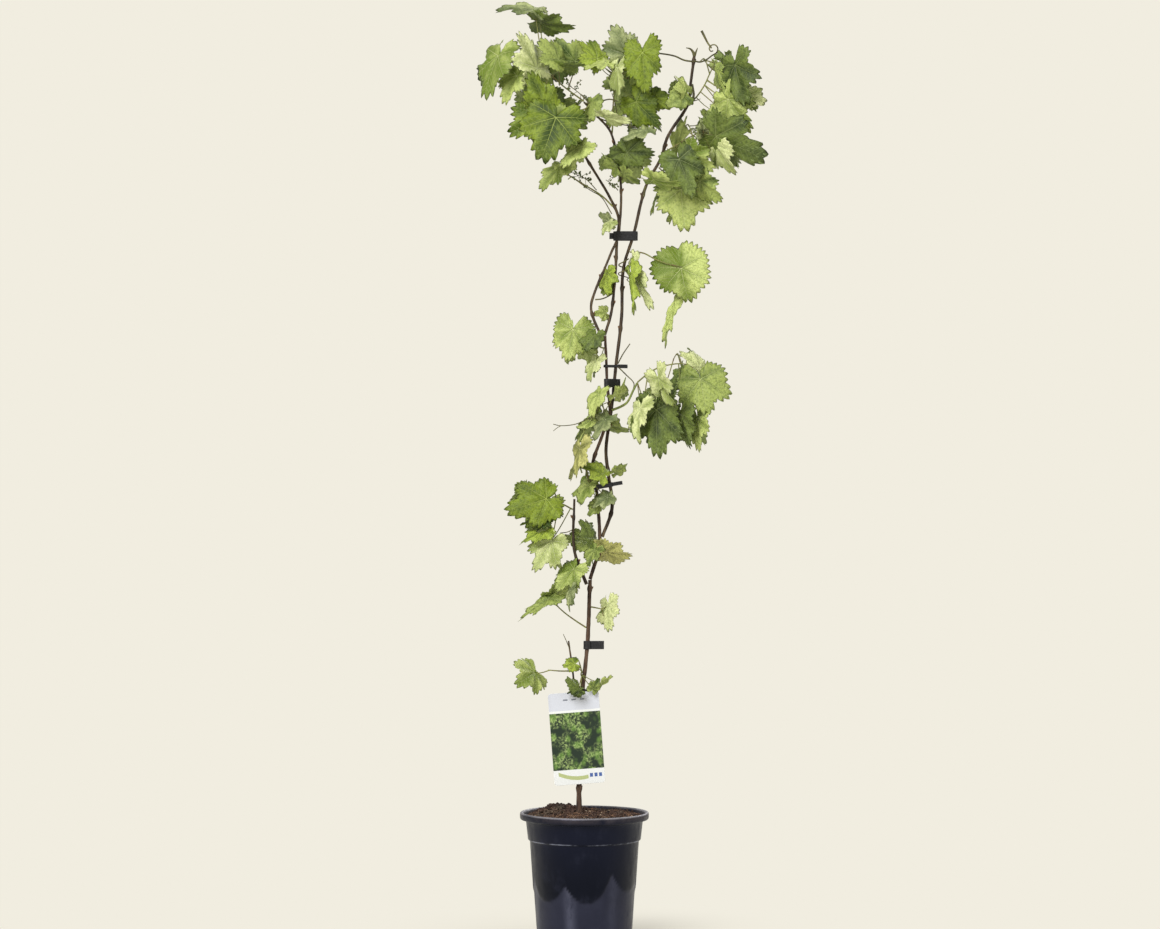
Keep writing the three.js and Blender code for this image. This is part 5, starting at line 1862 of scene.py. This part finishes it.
# Stage: a pale floor that runs out into the same tone all round, soft lights, and the camera

studio = {
    "tone": (241, 237, 224),
    "sky": (255, 252, 246),
    "aim": (0, 0, 0.75),
    "floor": {"reach": 9, "height": -0.0005, "matt": 0.86, "from": -0.06, "to": 0.36},
    "ambient": 0.42,
    "key": {"at": (-2.0, -3.8, 3.5), "size": 3.2, "power": 275},
    "fill": {"at": (3.6, -2.6, 1.6), "size": 3.0, "power": 36},
    "back": {"at": (1.2, 3.6, 2.8), "size": 2.8, "power": 70},
}


def mixShaders(tree, amount, first, second, output):
    blend = tree.nodes.new("ShaderNodeMixShader")
    for source, socket in zip((amount, first, second), blend.inputs):
        tree.links.new(source, socket)
    tree.links.new(blend.outputs["Shader"], tree.nodes[output].inputs["Surface"])


def makeFloor():
    look = studio["floor"]
    startPiece()
    bpy.ops.mesh.primitive_circle_add(vertices=128, radius=look["reach"], fill_type="NGON")
    floor = namedPiece("floor")
    floor.location.z = look["height"]
    finish, tree, shader = newFinish("paleFloor", 0.9, 0.1)
    tone = linear(studio["tone"])
    shader.inputs["Base Color"].default_value = [value * look["matt"] for value in tone[:3]] + [1]
    glow = tree.nodes.new("ShaderNodeEmission")
    glow.inputs["Color"].default_value = tone
    away = tree.nodes.new("ShaderNodeVectorMath")
    away.operation = "LENGTH"
    tree.links.new(place(tree), away.inputs[0])
    amount = ramp(tree, away.outputs["Value"], look["from"], look["to"])
    mixShaders(tree, amount, shader.outputs["BSDF"], glow.outputs["Emission"], "Material Output")
    floor.data.materials.append(finish)


def makeSky():
    world = bpy.data.worlds.new("studio")
    world.use_nodes = True
    scene.world = world
    tree = world.node_tree
    plain = tree.nodes["Background"]
    plain.inputs["Color"].default_value = linear(studio["sky"])
    plain.inputs["Strength"].default_value = studio["ambient"]
    seen = tree.nodes.new("ShaderNodeBackground")
    seen.inputs["Color"].default_value = linear(studio["tone"])
    path = tree.nodes.new("ShaderNodeLightPath")
    mixShaders(tree, path.outputs["Is Camera Ray"], plain.outputs["Background"], seen.outputs["Background"],
               "World Output")


def addLight(name, look):
    bpy.ops.object.light_add(type="AREA", location=look["at"])
    lamp = bpy.context.object
    lamp.name = name
    lamp.data.size = look["size"]
    lamp.data.energy = look["power"]
    aim = Vector(studio["aim"]) - lamp.location
    lamp.rotation_euler = aim.to_track_quat("-Z", "Y").to_euler()


makeFloor()
makeSky()
for name in ("key", "fill", "back"):
    addLight(name, studio[name])
bpy.ops.object.camera_add(location=Vector(eye["at"]) * mm, rotation=(math.pi / 2, 0, 0))
camera = bpy.context.object
camera.data.sensor_width = eye["sensor"]
camera.data.lens = eye["sensor"] * -eye["at"][1] / eye["pixel"] / eye["width"]
camera.data.clip_end = 40
scene.camera = camera
scene.view_settings.view_transform = "Standard"
print("stage set")
